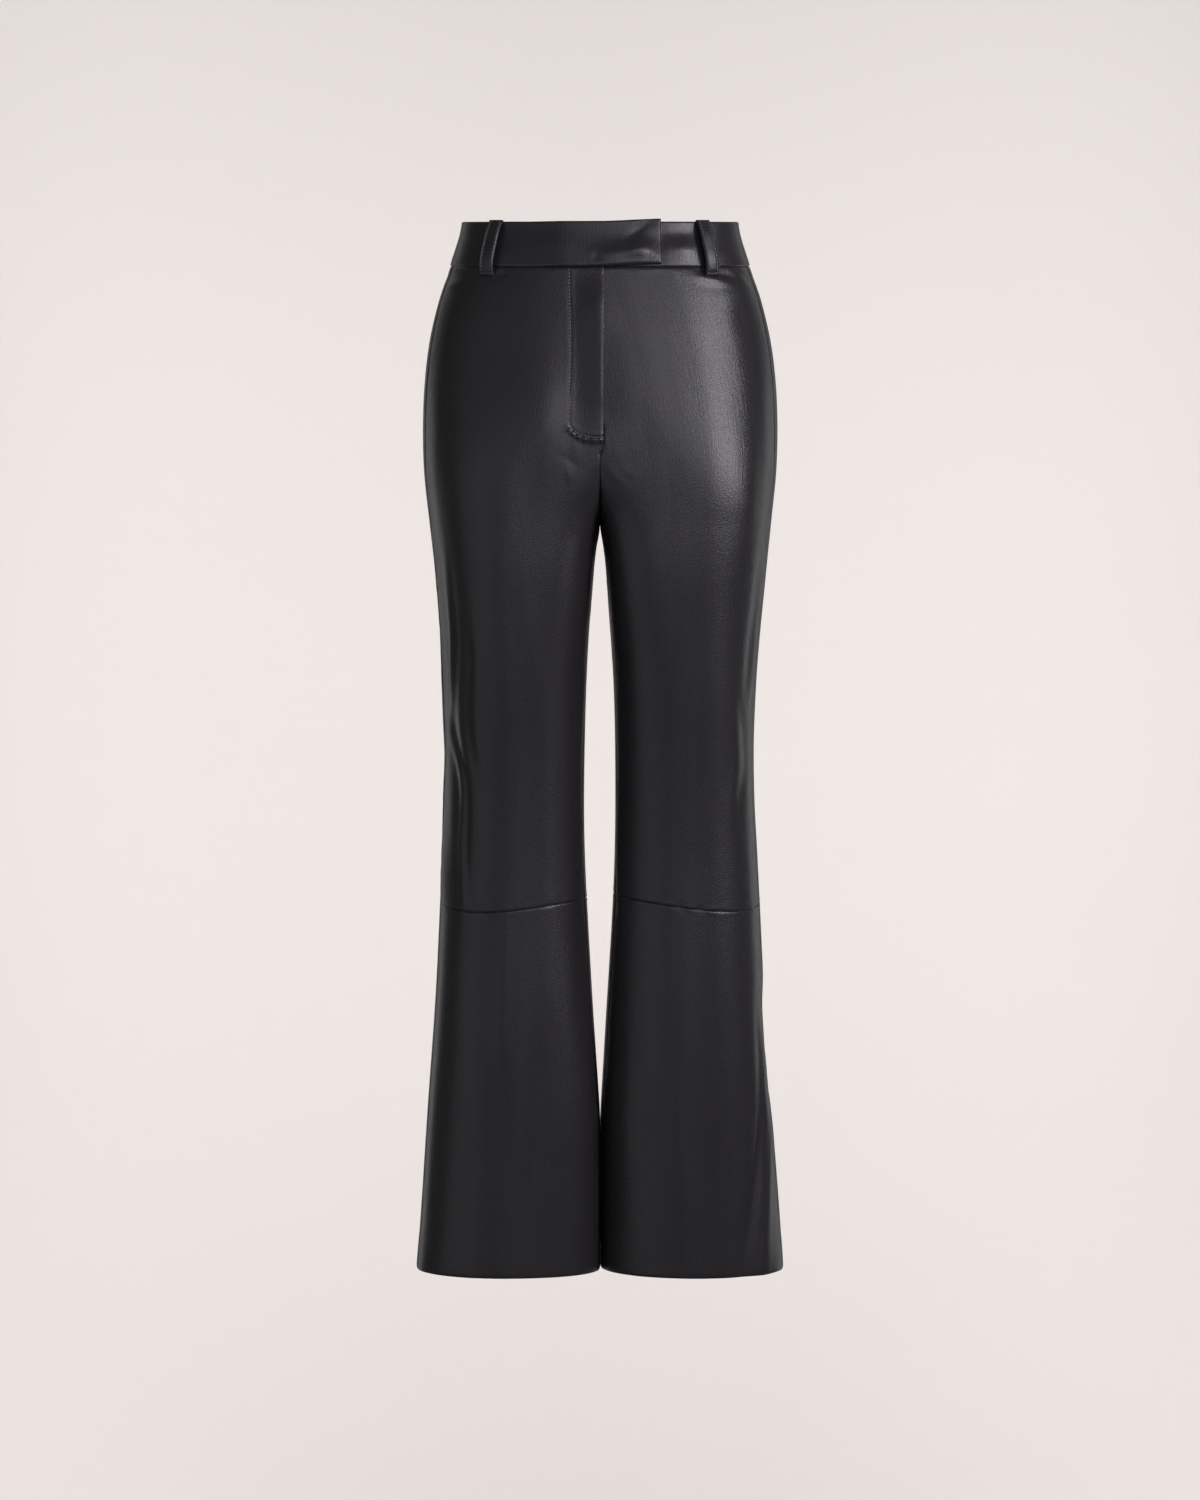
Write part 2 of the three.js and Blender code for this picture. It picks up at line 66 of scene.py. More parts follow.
# The form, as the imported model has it
CROTCH_Z = -302.0
CROTCH_Y = -5.0
FLY_END_Z = -229.0
SEAT_VALLEY_Z = -165.0
BAND_HEIGHT = 44.0
WAIST_TILT = 0.17
TILT_ENDS_Z = -240.0
WALL = 1.4
HEM_WALL = 2.7
HEM_TURN_UP = 32.0
SEAM_GAP = 0.16
BAND_WALL = 2.4
BAND_PROUD = 0.8
BAND_REACH = 378.0
TAB_LENGTH = 59.0
TAB_RISE = 2.2
BAND_UNDERLAP = 24.0
TAB_LAYER = BAND_WALL + 0.4
TAB_LIFT_FROM = 76.0
TAB_LIFT_FULL = 32.0
FLY_EDGE = 3.0
FLY_UNDERLAP = 6.0
FLY_LAYER = WALL + 0.4
FLY_LIFT_FROM = 29.0
FLY_FADE = 14.0
FLY_PUFF = 4.6
SEAM_REACH = 10
PLACE_STEP = 0.04
NEST = 10.0
NEST_FROM_Z = -700.0
NEST_FULL_Z = -870.0
LOOP_WIDTH = 14.0
LOOP_LAYER = 2.0
LOOP_GAP = 6.4
LOOP_ABOVE = 0.8
LOOP_BELOW = 9.5
LOOP_FOLD = 7.0
LOOP_CLEAR = 0.3
KNEE_TOP_Z = -674.0
KNEE_MIDDLE_Z = -676.0
UPPER_WIDTHS = {"front": 245.0, "back": 262.0}
LOWER_WIDTH = 250.0
DIP_SKEW = 1.7
FOLD_FADE = 0.3
RING_STEPS = 48
HEM_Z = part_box("front_left_lower")[0].z / MM


def table(heading, *rows):
    """A table of numbers as arrays, one for each named column."""
    return dict(zip(heading.split(), np.array(rows, dtype=float).T))


# The body from the front (side) and from the side (front, back), with the squareness of its rings
LEVELS = table(
    "z side front back square",
    (-1050, 183.3, -70, 70, 2.06),
    (-1000, 179.9, -69, 69, 2.06),
    (-940, 175.8, -68, 66, 2.06),
    (-880, 171.6, -68, 63, 2.08),
    (-820, 167.4, -68, 61, 2.1),
    (-760, 163.6, -68, 58, 2.12),
    (-690, 160, -68, 57, 2.15),
    (-640, 157.5, -69, 58, 2.15),
    (-600, 156, -71, 60, 2.15),
    (-560, 155.1, -74, 63, 2.15),
    (-520, 154.9, -78, 67, 2.15),
    (-480, 155.8, -83, 72, 2.15),
    (-440, 157.5, -88, 78, 2.15),
    (-400, 160.2, -93, 85, 2.15),
    (-350, 164.9, -99, 96, 2.15),
    (-302, 170.3, -103, 109, 2.18),
    (-250, 175.8, -107, 121, 2.2),
    (-205, 177, -108.5, 125, 2.22),
    (-160, 175.2, -108, 122, 2.25),
    (-118, 170, -106, 116, 2.25),
    (-78, 160.4, -102, 108.5, 2.28),
    (-44, 149, -98, 102, 2.3),
    (4, 137.4, -92, 95, 2.3),
)
# How square the inner half of a leg's front, and of its back, is
INNER_SQUARES = table(
    "z front back",
    (-1050, 2.06, 2.06),
    (-700, 2.15, 2.15),
    (-560, 2.4, 2.15),
    (-450, 2.8, 2.15),
    (-380, 3.5, 2.2),
    (-330, 4.1, 2.3),
    (-302, 4.4, 2.4),
    (-250, 4.4, 2.4),
    (10, 3.5, 2.15),
)
# Half of the gap between the legs
GAPS = table(
    "z gap",
    (-1050, -0.3),
    (-940, -0.3),
    (-905, -0.2),
    (-885, 0.4),
    (-858, 2),
    (-818, 4.5),
    (-758, 8.3),
    (-698, 11.7),
    (-638, 14.4),
    (-578, 15.6),
    (-518, 15.2),
    (-458, 13.3),
    (-418, 11.1),
    (-378, 8),
    (-338, 4.8),
    (-320, 2.3),
    (-312, 0.9),
    (-306, 0.2),
    (-302, 0.0),
)
# How far the side seam and the inseam lie ahead of the leg's outermost and innermost lines
SEAM_PATHS = table(
    "z side_seam inseam",
    (-1050, 12, 16),
    (-700, 14, 20),
    (-420, 20, 19),
    (-330, 26, 5),
    (-302, 28, 0),
    (-210, 32, 0),
    (-60, 26, 0),
    (10, 25, 0),
)
KNEE_SEAM = {
    "right": {"inside": -675, "outside": -671, "front_dip": 15, "back_dip": 6},
    "left": {"inside": -670, "outside": -678, "front_dip": 11, "back_dip": 6},
}
PARTING = {
    "front": {"start": -110.0, "top": FLY_END_Z, "power": 2.5},
    "back": {"start": -40.0, "top": SEAT_VALLEY_Z, "power": 2.2},
}

# Folds that run down a leg. A turn goes from 0 at the inside, over the front, to 1 at the outside
# and on over the back to 2. bend moves the middle, and a depth below 0 is a trough.
FOLDS = {
    "right": table(
        "start end top bottom bend width depth",
        (-84, -236, 0, 0, 0, 24, -2.4),
        (-64, -178, 2, 2, 0, 28, -3.2),
        (-315, -700, 0.86, 0.78, 0.05, 11, -2.0),
        (-330, -560, 0.95, 0.93, -0.03, 10, 1.6),
        (-520, -700, 0.97, 0.9, 0, 12, 2),
        (-690, -960, 0.62, 0.55, 0.02, 15, -1.6),
        (-760, -1100, 0.3, 0.36, 0, 24, -1.4),
        (-290, -420, 1.72, 1.3, -0.04, 13, -3.6),
        (-335, -500, 1.6, 1.26, -0.03, 14, -2.6),
        (-560, -760, 1.34, 1.62, 0.04, 16, -2.6),
        (-800, -1100, 1.45, 1.4, 0, 24, -2),
    ),
    "left": table(
        "start end top bottom bend width depth",
        (-84, -236, 0, 0, 0, 24, -2.4),
        (-64, -178, 2, 2, 0, 28, -3.2),
        (-745, -905, 0.97, 0.96, 0, 22, -3.4),
        (-800, -1100, 0.94, 0.79, 0.02, 9, 2.2),
        (-860, -1100, 0.85, 0.69, 0.02, 13, -2.2),
        (-330, -640, 0.93, 0.94, -0.02, 11, -2),
        (-840, -1100, 0.34, 0.42, 0, 22, -1.2),
        (-295, -440, 1.7, 1.34, -0.05, 14, -3.2),
        (-350, -520, 1.63, 1.24, -0.03, 13, -2.8),
        (-580, -790, 1.3, 1.55, 0.05, 17, -2.4),
        (-820, -1100, 1.5, 1.56, 0, 24, -2),
    ),
}
# Soft dents and swells of a leg's front, too small for the solids. across is the way out from the
# middle of the body, as seen from the front, and z the level.
DENTS = {
    "right": table(
        "across z wide tall slant depth",
        (62, -212, 26, 52, 0, 2.7),
        (47, -224, 13, 48, 0, 1.5),
        (24, -236, 5, 11, 0, 0.6),
        (28, -250, 13, 4, 0.6, -0.3),
        (144, -61, 7, 4, 0.5, -0.9),
        (146, -70, 7, 4, 0.4, 0.7),
        (98, -66, 10, 4, -0.2, -0.5),
        (30, -262, 4, 10, 0.35, 0.7),
    ),
    "left": table(
        "across z wide tall slant depth",
        (111, -62, 17, 3.6, -0.1, -1.7),
        (111, -70, 20, 4.2, -0.12, 1.5),
        (136, -64, 9, 4, -0.7, 0.8),
        (136, -80, 14, 15, 0, 2.0),
        (148, -322, 16, 75, 0, 2.4),
        (14, -244, 9, 2.8, -0.75, 0.45),
        (18, -253, 11, 3.0, -0.7, -0.45),
        (26, -259, 11, 3.2, -0.6, 0.4),
        (12, -262, 9, 2.6, -0.8, 0.5),
        (30, -248, 14, 3.4, 0.35, -0.35),
    ),
}


def crease(width, height, *path):
    """A crease of a leg's front: path gives its levels and the way out from the middle of the body.

    A ridge has its trough beside it, and a height below 0 is a trough with its ridge beside it.
    """
    z, across = np.array(path, dtype=float).T
    return {"z": z, "across": across, "width": width, "height": height}


CREASES = {
    "right": (
        crease(
            3.0,
            1.5,
            (-690, 134),
            (-628, 137),
            (-557, 137),
            (-510, 148),
            (-475, 148),
            (-423, 146),
            (-342, 151),
        ),
        crease(3.0, 1.1, (-668, 18.5), (-626, 18.5), (-538, 19.5), (-420, 14.5)),
        crease(4.0, -0.8, (-560, 122), (-500, 129), (-440, 127), (-392, 131)),
        crease(6.0, 0.8, (-835, 98), (-770, 96), (-690, 92)),
        crease(7.0, -0.6, (-1000, 70), (-900, 62), (-800, 63)),
    ),
    "left": (
        crease(3.2, 1.7, (-1043, 149), (-985, 156), (-920, 162), (-850, 164), (-770, 161)),
        crease(3.0, 1.3, (-704, 20), (-620, 18.5), (-540, 19), (-455, 16.5)),
        crease(3.2, 1.5, (-480, 149), (-430, 152), (-380, 157), (-325, 161)),
        crease(4.5, -0.9, (-600, 136), (-540, 143), (-470, 138)),
        crease(8.0, 0.7, (-1000, 88), (-900, 78), (-780, 84)),
    ),
}


def mix(a, b, t):
    return a + (b - a) * t


def clamp(value):
    return np.clip(value, 0.0, 1.0)


def ease(value, low, high):
    """0 before low, 1 after high, and smooth between them."""
    t = clamp((value - low) / (high - low))
    return t * t * (3 - 2 * t)


def curve_at(rows, column, z):
    """A smooth curve through one column of a table, for an array of levels."""
    x = rows["z"]
    y = rows[column]
    x = np.concatenate(([2 * x[0] - x[1]], x, [2 * x[-1] - x[-2]]))
    y = np.concatenate(([y[1]], y, [y[-2]]))
    z = np.asarray(z, dtype=float)
    k = np.clip(np.searchsorted(x, z, side="right") - 1, 1, len(x) - 3)
    half = (x[k + 1] - x[k]) * 0.5
    before = half / (x[k] - x[k - 1])
    after = half / (x[k + 2] - x[k + 1])
    p = (z - x[k]) / (x[k + 1] - x[k])
    p2 = p * p
    p3 = p2 * p
    return (
        (-before * p3 + 2 * before * p2 - before * p) * y[k - 1]
        + ((1 + before) * p3 + (-1.5 - 2 * before) * p2 + (-0.5 + before) * p + 1) * y[k]
        + ((-1 - after) * p3 + (1.5 + after) * p2 + 0.5 * p) * y[k + 1]
        + (after * p3 - after * p2) * y[k + 2]
    )


def tilt_at(z):
    return WAIST_TILT * (1 - ease(-z, BAND_HEIGHT, -TILT_ENDS_Z))


def crotch_curve(z, top, power):
    """How far the crotch seam has gone inwards: 0 at top and 1 at the crotch."""
    t = clamp((top - z) / (top - CROTCH_Z))
    return 1 - (1 - t**power) ** (1 / power)


SOFT_REACH = 24.0
SOFT_Z = np.arange(-400.0, 20.0, 0.5)


def soften(curve):
    """A row of values on SOFT_Z, which reaches SOFT_REACH past its ends, with sharp turns rounded."""
    weights = 1 - np.abs(np.arange(-SOFT_REACH, SOFT_REACH + 0.1, 0.5)) / (SOFT_REACH + 2)
    return np.convolve(curve, weights / weights.sum(), "valid")


def soft_crotch_curves():
    """The crotch seam's curves with their sharp ends rounded, for the leather beside the seam."""
    z = np.arange(SOFT_Z[0] - SOFT_REACH, SOFT_Z[-1] + SOFT_REACH + 0.1, 0.5)
    return {face: soften(crotch_curve(z, part["top"], part["power"])) for face, part in PARTING.items()}


SOFT_CURVES = soft_crotch_curves()


def section_sizes(leg, z, face):
    """The sizes of a leg's front or back section at each level."""
    side = curve_at(LEVELS, "side", z)
    depth = curve_at(LEVELS, face, z)
    part = PARTING[face]
    parted = crotch_curve(z, part["top"], part["power"])
    inner = np.where(z > CROTCH_Z, 0.0, curve_at(GAPS, "gap", np.minimum(z, CROTCH_Z)))
    ridge = mix(inner, side, 0.5) * ease(-z, -part["start"], -CROTCH_Z)
    nest = (-NEST if leg == "right" else NEST) * ease(-z, -NEST_FROM_Z, -NEST_FULL_Z)
    inseam_y = mix(CROTCH_Y, 0.0, ease(-z, -CROTCH_Z, -NEST_FROM_Z)) + nest
    return {
        "side": side,
        "depth": depth,
        "square": curve_at(LEVELS, "square", z),
        "inner_square": curve_at(INNER_SQUARES, face, z),
        "inner": inner,
        "ridge": ridge,
        "seam_y": mix(depth, inseam_y, parted),
        "beside_y": mix(depth, inseam_y, np.interp(z, SOFT_Z, SOFT_CURVES[face])),
    }


def section_point(sizes, place):
    """Points of sections: place is -1 at the inside, 0 at the foremost line and 1 at the outside."""
    angle = place * math.pi / 2
    power = 2 / np.where(place < 0, sizes["inner_square"], sizes["square"])
    across = np.abs(np.sin(angle)) ** power
    forward = np.abs(np.cos(angle)) ** power
    inner_y = mix(sizes["beside_y"], sizes["seam_y"], np.sin(angle) ** SEAM_REACH)
    edge_x = np.where(place < 0, sizes["inner"], sizes["side"])
    edge_y = np.where(place < 0, inner_y, 0.0)
    return np.stack((mix(sizes["ridge"], edge_x, across), mix(edge_y, sizes["depth"], forward)), -1)


def half_ring(leg, z, face, open_seam=False):
    """For each level, the reach along a section at each of its steps, measured from the inside."""
    sizes = {key: value[:, None] for key, value in section_sizes(leg, z, face).items()}
    if open_seam:
        sizes["seam_y"] = sizes["beside_y"]
    places = np.linspace(-1, 1, 2 * RING_STEPS + 1)[None, :]
    raw = section_point(sizes, np.repeat(places, len(z), axis=0))
    steps = np.linalg.norm(np.diff(raw, axis=1), axis=2)
    return np.concatenate((np.zeros((len(z), 1)), np.cumsum(steps, axis=1)), axis=1)


def half_surface(leg, face, u, z):
    """Points and normals of a leg's front or back half for shares u of its width and levels z."""
    reach = half_ring(leg, z, face)
    wanted = u * reach[:, -1]
    k = np.clip((reach <= wanted[:, None]).sum(axis=1) - 1, 0, 2 * RING_STEPS - 1)
    rows = np.arange(len(z))
    start = reach[rows, k]
    share = (wanted - start) / np.maximum(reach[rows, k + 1] - start, 1e-9)
    place = (k + clamp(share)) / RING_STEPS - 1
    sizes = section_sizes(leg, z, face)
    at = section_point(sizes, place)
    tangent = section_point(sizes, np.minimum(1, place + PLACE_STEP))
    tangent = tangent - section_point(sizes, np.maximum(-1, place - PLACE_STEP))
    outward = np.stack((tangent[:, 1], -tangent[:, 0]), -1)
    outward /= np.maximum(np.linalg.norm(outward, axis=1), 1e-9)[:, None]
    if face == "back":
        outward = -outward
    step = 0.6
    above = section_point(section_sizes(leg, z + step, face), place)
    below = section_point(section_sizes(leg, z - step, face), place)
    steep = np.clip(((above - below) * outward).sum(axis=1) / (2 * step), -1.2, 1.2)
    tilt = tilt_at(z)
    around = np.stack((tangent[:, 0], tangent[:, 1], tilt * tangent[:, 1]), -1)
    up = np.stack((outward[:, 0] * steep, outward[:, 1] * steep, 1 + tilt * outward[:, 1] * steep), -1)
    normal = np.cross(around, up)
    normal /= np.maximum(np.linalg.norm(normal, axis=1), 1e-9)[:, None]
    flip = (normal[:, :2] * outward).sum(axis=1) < 0
    normal[flip] *= -1
    points = np.stack((at[:, 0], at[:, 1], z + tilt * at[:, 1]), -1)
    return points, normal


def leg_surface(leg, turn, z):
    """Points and outward normals of a leg, where turns past an end go on over the other half."""
    past = (turn < 0) | (turn > 2)
    mirrored = past & (z > CROTCH_Z)
    u = np.where(mirrored, np.where(turn < 0, -turn, 4 - turn), turn)
    u = np.where(past & ~mirrored, (turn + 2) % 2, u)
    points = np.empty((len(z), 3))
    normals = np.empty((len(z), 3))
    front = u <= 1
    for face, chosen in (("front", front), ("back", ~front)):
        if chosen.any():
            share = clamp(u[chosen] if face == "front" else 2 - u[chosen])
            points[chosen], normals[chosen] = half_surface(leg, face, share, z[chosen])
    flip = mirrored != (leg == "right")
    points[flip, 0] *= -1
    normals[flip, 0] *= -1
    return points, normals


LENGTH_Z = np.union1d(np.arange(-1056.0, 12.0, 2.0), CROTCH_Z + np.geomspace(0.001, 140.0, 240))
LENGTHS = {(leg, face): half_ring(leg, LENGTH_Z, face)[:, -1] for leg in LEGS for face in FACES}
OPEN_LENGTHS = {
    (leg, face): half_ring(leg, LENGTH_Z, face, open_seam=True)[:, -1] for leg in LEGS for face in FACES
}


def length_at(leg, face, z):
    """The length round a leg's front or back at each level."""
    return np.interp(z, LENGTH_Z, LENGTHS[leg, face])


def spread(leg, face, share, z):
    """Turns for shares of a panel's width: only the columns at the crotch seam follow its sharp curve."""
    first, last = panel_edges(leg, face, z)
    length = length_at(leg, face, z)
    valley = length - np.interp(z, LENGTH_Z, OPEN_LENGTHS[leg, face])
    if face == "front":
        side, seam, q = (1 - last) * length, (1 - first) * length, 1 - share
    else:
        side, seam, q = (first - 1) * length_at(leg, "front", z), (last - 1) * length, share
    distance = mix(side, seam - valley, q) + valley * q**12
    if face == "front":
        return 1 - distance / length
    return 1 + distance / np.where(distance > 0, length, length_at(leg, "front", z))


def fold_depth(leg, turn, z):
    """How far the folds move the surface outwards."""
    depth = np.zeros(len(z))
    rows = FOLDS[leg]
    for i in range(len(rows["start"])):
        fold = {key: column[i] for key, column in rows.items()}
        t = clamp((z - fold["start"]) / (fold["end"] - fold["start"]))
        centre = mix(fold["top"], fold["bottom"], t) + fold["bend"] * np.sin(t * 2 * math.pi)
        face = np.where(centre < 1, length_at(leg, "front", z), length_at(leg, "back", z))
        away = (turn - centre) * face / fold["width"]
        ends = ease(t, 0, FOLD_FADE) * (1 - ease(t, 1 - FOLD_FADE, 1))
        depth += fold["depth"] * ends * np.exp(-away * away)
    return depth


def swells(rows, across, z, across_column):
    """The sum of the soft dents and swells of a table at places on a face."""
    depth = np.zeros(len(z))
    for i in range(len(rows["z"])):
        dent = {key: column[i] for key, column in rows.items()}
        x = across - dent[across_column]
        y = z - dent["z"] - dent["slant"] * x
        depth += dent["depth"] * np.exp(-((x / dent["wide"]) ** 2) - (y / dent["tall"]) ** 2)
    return depth


def dent_depth(leg, turn, points):
    """How far the small dents and swells move a leg's front outwards."""
    return swells(DENTS[leg], np.abs(points[:, 0]), points[:, 2], "across") * (turn < 1)


def crease_depth(leg, turn, points):
    """How far the listed creases move a leg's front outwards."""
    depth = np.zeros(len(turn))
    z = points[:, 2]
    for line in CREASES[leg]:
        low, high = line["z"][0], line["z"][-1]
        middle = curve_at(line, "across", np.clip(z, low, high))
        away = (np.abs(points[:, 0]) - middle) / line["width"]
        fade = 0.25 * (high - low)
        ends = ease(z, low - 0.4 * fade, low + fade) * (1 - ease(z, high - fade, high + 0.4 * fade))
        beside = 0.5 * np.exp(-((away + 1.9) ** 2))
        depth += line["height"] * ends * (np.exp(-away * away) - beside)
    return depth * (turn < 1)


def fly_lift(leg, turn, z):
    """How far the fly's top layer stands out."""
    if leg == "left":
        return np.zeros(len(z))
    from_centre = turn * length_at(leg, "front", z)
    height = ease(z, FLY_END_Z - FLY_FADE / 2, FLY_END_Z + FLY_FADE / 2)
    puffed = FLY_PUFF * ease(z, FLY_END_Z, FLY_END_Z + 60) * (1 - ease(z, -BAND_HEIGHT - 40, -BAND_HEIGHT))
    return (FLY_LAYER + puffed) * height * (1 - ease(from_centre, -4, FLY_LIFT_FROM))


FLY_STITCH = 30.0
FLY_STITCH_TURN_Z = -208.0


def fly_stitch_path():
    """The J of stitching beside the fly, as the way from the centre front and the level."""
    down = np.arange(-BAND_HEIGHT - 2.5, FLY_STITCH_TURN_Z, -2.0)
    lean = FLY_STITCH - 1.6 * np.sin(clamp((-down - 60) / 130) * math.pi)
    angle = np.linspace(0, math.pi / 2, 24)[1:]
    drop = FLY_STITCH_TURN_Z - FLY_END_Z - 2.5
    across = np.concatenate((lean, FLY_STITCH * np.cos(angle) ** 0.72 - 2.6 * (1 - np.cos(angle))))
    return across, np.concatenate((down, FLY_STITCH_TURN_Z - drop * np.sin(angle) ** 0.9))


def stitch_groove(across, z):
    """The relief of the fly's stitching: a groove, puffed leather beside it and small puckers."""
    path = np.stack(fly_stitch_path(), -1)
    near = (across < 50) & (z > FLY_END_Z - 25)
    relief = np.zeros(len(z))
    if not near.any():
        return relief
    here = np.stack((across[near], z[near]), -1)
    away = np.linalg.norm(here[:, None, :] - path[None, :, :], axis=2)
    nearest = away.argmin(axis=1)
    along = np.diff(path, axis=0)
    along /= np.linalg.norm(along, axis=1)[:, None]
    along = np.concatenate((along, along[-1:]))[nearest]
    offset = here - path[nearest]
    beside = offset[:, 0] * along[:, 1] - offset[:, 1] * along[:, 0]
    distance = np.where(nearest == len(path) - 1, away.min(axis=1), np.abs(beside))
    below = ease(-z[near], -FLY_STITCH_TURN_Z, -FLY_END_Z - 4)
    puff = np.where(beside < 0, 0.1 + 1.2 * below * (1 + 0.5 * np.sin(1.9 * nearest)), 0.2)
    ripple = 0.13 * smooth_noise(nearest / 2.2, distance / 3, 71) * np.exp(-((distance / 4) ** 2))
    groove = 0.35 * np.exp(-((distance / 0.7) ** 2))
    relief[near] = puff * np.exp(-(((distance - 3) / 2.2) ** 2)) - groove + ripple
    return relief


def knee_seam_z(leg, turn):
    """The level of the seam across a leg."""
    seam = KNEE_SEAM[leg]
    u = np.where(turn > 2, turn - 2, turn)
    front = mix(seam["inside"], seam["outside"], u)
    front = front - seam["front_dip"] * np.sin(math.pi * np.clip(u, 0, 1) ** DIP_SKEW)
    back = mix(seam["outside"], seam["inside"], u - 1) - seam["back_dip"] * np.sin(math.pi * (u - 1))
    return np.where(u <= 1, front, back)


def panel_edges(leg, face, z):
    """The turns of a panel's two long edges at each level."""
    front_length = length_at(leg, "front", z)
    trim = SEAM_GAP / 2 / front_length
    side = 1 - curve_at(SEAM_PATHS, "side_seam", z) / front_length
    torso = z > CROTCH_Z
    inner_trim = np.where(torso, 0, trim)
    inseam = np.where(torso, 0, curve_at(SEAM_PATHS, "inseam", z) / front_length)
    if face == "back":
        return side + trim, 2 + inseam - inner_trim
    fly_up = ease(z, FLY_END_Z - FLY_FADE, FLY_END_Z - FLY_FADE / 2)
    under_up = ease(z, FLY_END_Z + FLY_FADE, FLY_END_Z + 2 * FLY_FADE)
    if leg == "right":
        shift = -FLY_EDGE * fly_up
    else:
        shift = (FLY_EDGE + 0.3) * fly_up * (1 - under_up) - FLY_UNDERLAP * under_up
    return inseam + inner_trim + shift / front_length, side - trim


def graded(length, coarse, fine_zones=(), edge=0.5):
    """Stations from 0 to length, close together at both ends and in the zones (centre, half, step)."""
    stations = [0.0]
    while stations[-1] < length:
        x = stations[-1]
        step = min(coarse, edge + 0.32 * x, edge + 0.32 * max(0.0, length - x))
        for centre, half, zone_step in fine_zones:
            outside = max(0.0, abs(x - centre) - half)
            step = min(step, zone_step + 0.3 * outside)
        stations.append(x + step)
    stations = np.array(stations)
    return stations * (length / stations[-1])


def seam_roll(distance, depth=1.15, reach=3.0):
    """How far a turned edge rolls inwards at a distance from it."""
    return -depth * clamp(1 - distance / reach) ** 2


def smooth_noise(x, y, seed):
    """A smooth value from -1 to 1 that wanders over the plane, in steps of about one unit."""
    total = np.zeros(np.broadcast(x, y).shape)
    generator = np.random.default_rng(seed)
    for _ in range(7):
        angle = generator.uniform(0, 2 * math.pi)
        speed = generator.uniform(0.6, 1.5)
        phase = generator.uniform(0, 2 * math.pi)
        total += np.sin((x * math.cos(angle) + y * math.sin(angle)) * speed * 2.4 + phase)
    return total / 4


def pucker(distance, along, seed, depth, reach, pitch):
    """Small puckers that a seam's thread pulls into the leather beside it."""
    wave = smooth_noise(along / pitch, distance / (reach * 1.4), seed)
    near = np.exp(-((distance / reach) ** 2)) * clamp(distance / 1.6)
    return depth * wave * near


def new_object(name, data):
    thing = bpy.data.objects.new(name, data)
    bpy.context.scene.collection.objects.link(thing)
    return thing


def shell(name, outside, normals, thickness, uv, materials):
    """A closed wall as an object: outside is a grid of points (rows, columns, 3)."""
    rows, columns = outside.shape[:2]
    inside = outside - normals * thickness[..., None]
    vertices = np.concatenate((outside.reshape(-1, 3), inside.reshape(-1, 3))) * MM
    index = np.arange(rows * columns).reshape(rows, columns)
    deep = index + rows * columns
    quads = [
        np.stack((index[:-1, :-1], index[1:, :-1], index[1:, 1:], index[:-1, 1:]), -1).reshape(-1, 4),
        np.stack((deep[:-1, :-1], deep[:-1, 1:], deep[1:, 1:], deep[1:, :-1]), -1).reshape(-1, 4),
    ]
    skin_faces = len(quads[0])
    rim = np.concatenate((index[0, :-1], index[:-1, -1], index[-1, :0:-1], index[:0:-1, 0]))
    following = np.roll(rim, -1)
    below = rows * columns
    quads.append(np.stack((rim, following, following + below, rim + below), -1))
    faces = np.concatenate(quads)
    a, b, c = (vertices[faces[:skin_faces, i]] for i in (0, 1, 2))
    facing = (np.cross(b - a, c - a) * normals[:-1, :-1].reshape(-1, 3)).sum()
    if facing < 0:
        faces = faces[:, ::-1]
    mesh = bpy.data.meshes.new(name)
    mesh.from_pydata(vertices.tolist(), [], faces.tolist())
    for material in materials:
        mesh.materials.append(material)
    slots = np.zeros(len(faces), dtype=np.int32)
    if len(materials) > 1:
        slots[skin_faces : 2 * skin_faces] = 1
    mesh.polygons.foreach_set("material_index", slots)
    layer = mesh.uv_layers.new(name="pattern")
    corner = np.empty(len(mesh.loops), dtype=np.int32)
    mesh.loops.foreach_get("vertex_index", corner)
    flat = np.concatenate((uv.reshape(-1, 2), uv.reshape(-1, 2))) * MM
    layer.uv.foreach_set("vector", flat[corner].astype(np.float32).ravel())
    mesh.polygons.foreach_set("use_smooth", np.ones(len(faces), dtype=bool))
    mesh.set_sharp_from_angle(angle=math.radians(55))
    mesh.update()
    return new_object(name, mesh)


def leather_piece(node, shape, outside, normals, thickness, pattern, materials):
    """Makes the leather that stands for a node from flat rows of a grid, and says what it was cut to."""
    outside = outside.reshape(*shape, 3)
    uv = np.stack(pattern, -1).reshape(*shape, 2)
    thickness = np.resize(thickness, shape)
    piece = shell(f"{node}_leather", outside, normals.reshape(*shape, 3), thickness, uv, materials)
    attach(piece, "root")
    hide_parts(node)


def upper_levels(face, share, down):
    """Levels of an upper panel for shares of its width and of its body part, 0 to 1, or leg part, 1 to 2."""
    part = PARTING[face]
    top = -BAND_HEIGHT - SEAM_GAP
    even = mix(top, CROTCH_Z, np.minimum(down, 1))
    curve = clamp((part["top"] - even) / (part["top"] - CROTCH_Z))
    at_seam = np.sin(curve * math.pi / 2) ** (2 / part["power"])
    u = share if face == "front" else 1 - share
    return np.where(even > part["top"], even, mix(part["top"], CROTCH_Z, mix(curve, at_seam, (1 - u) ** 3)))


def panel_grid(stations, rows):
    """Shares of a panel's width and the way down it, as flat rows of a grid."""
    share, down = np.meshgrid(stations / stations[-1], rows)
    return share.ravel(), down.ravel()


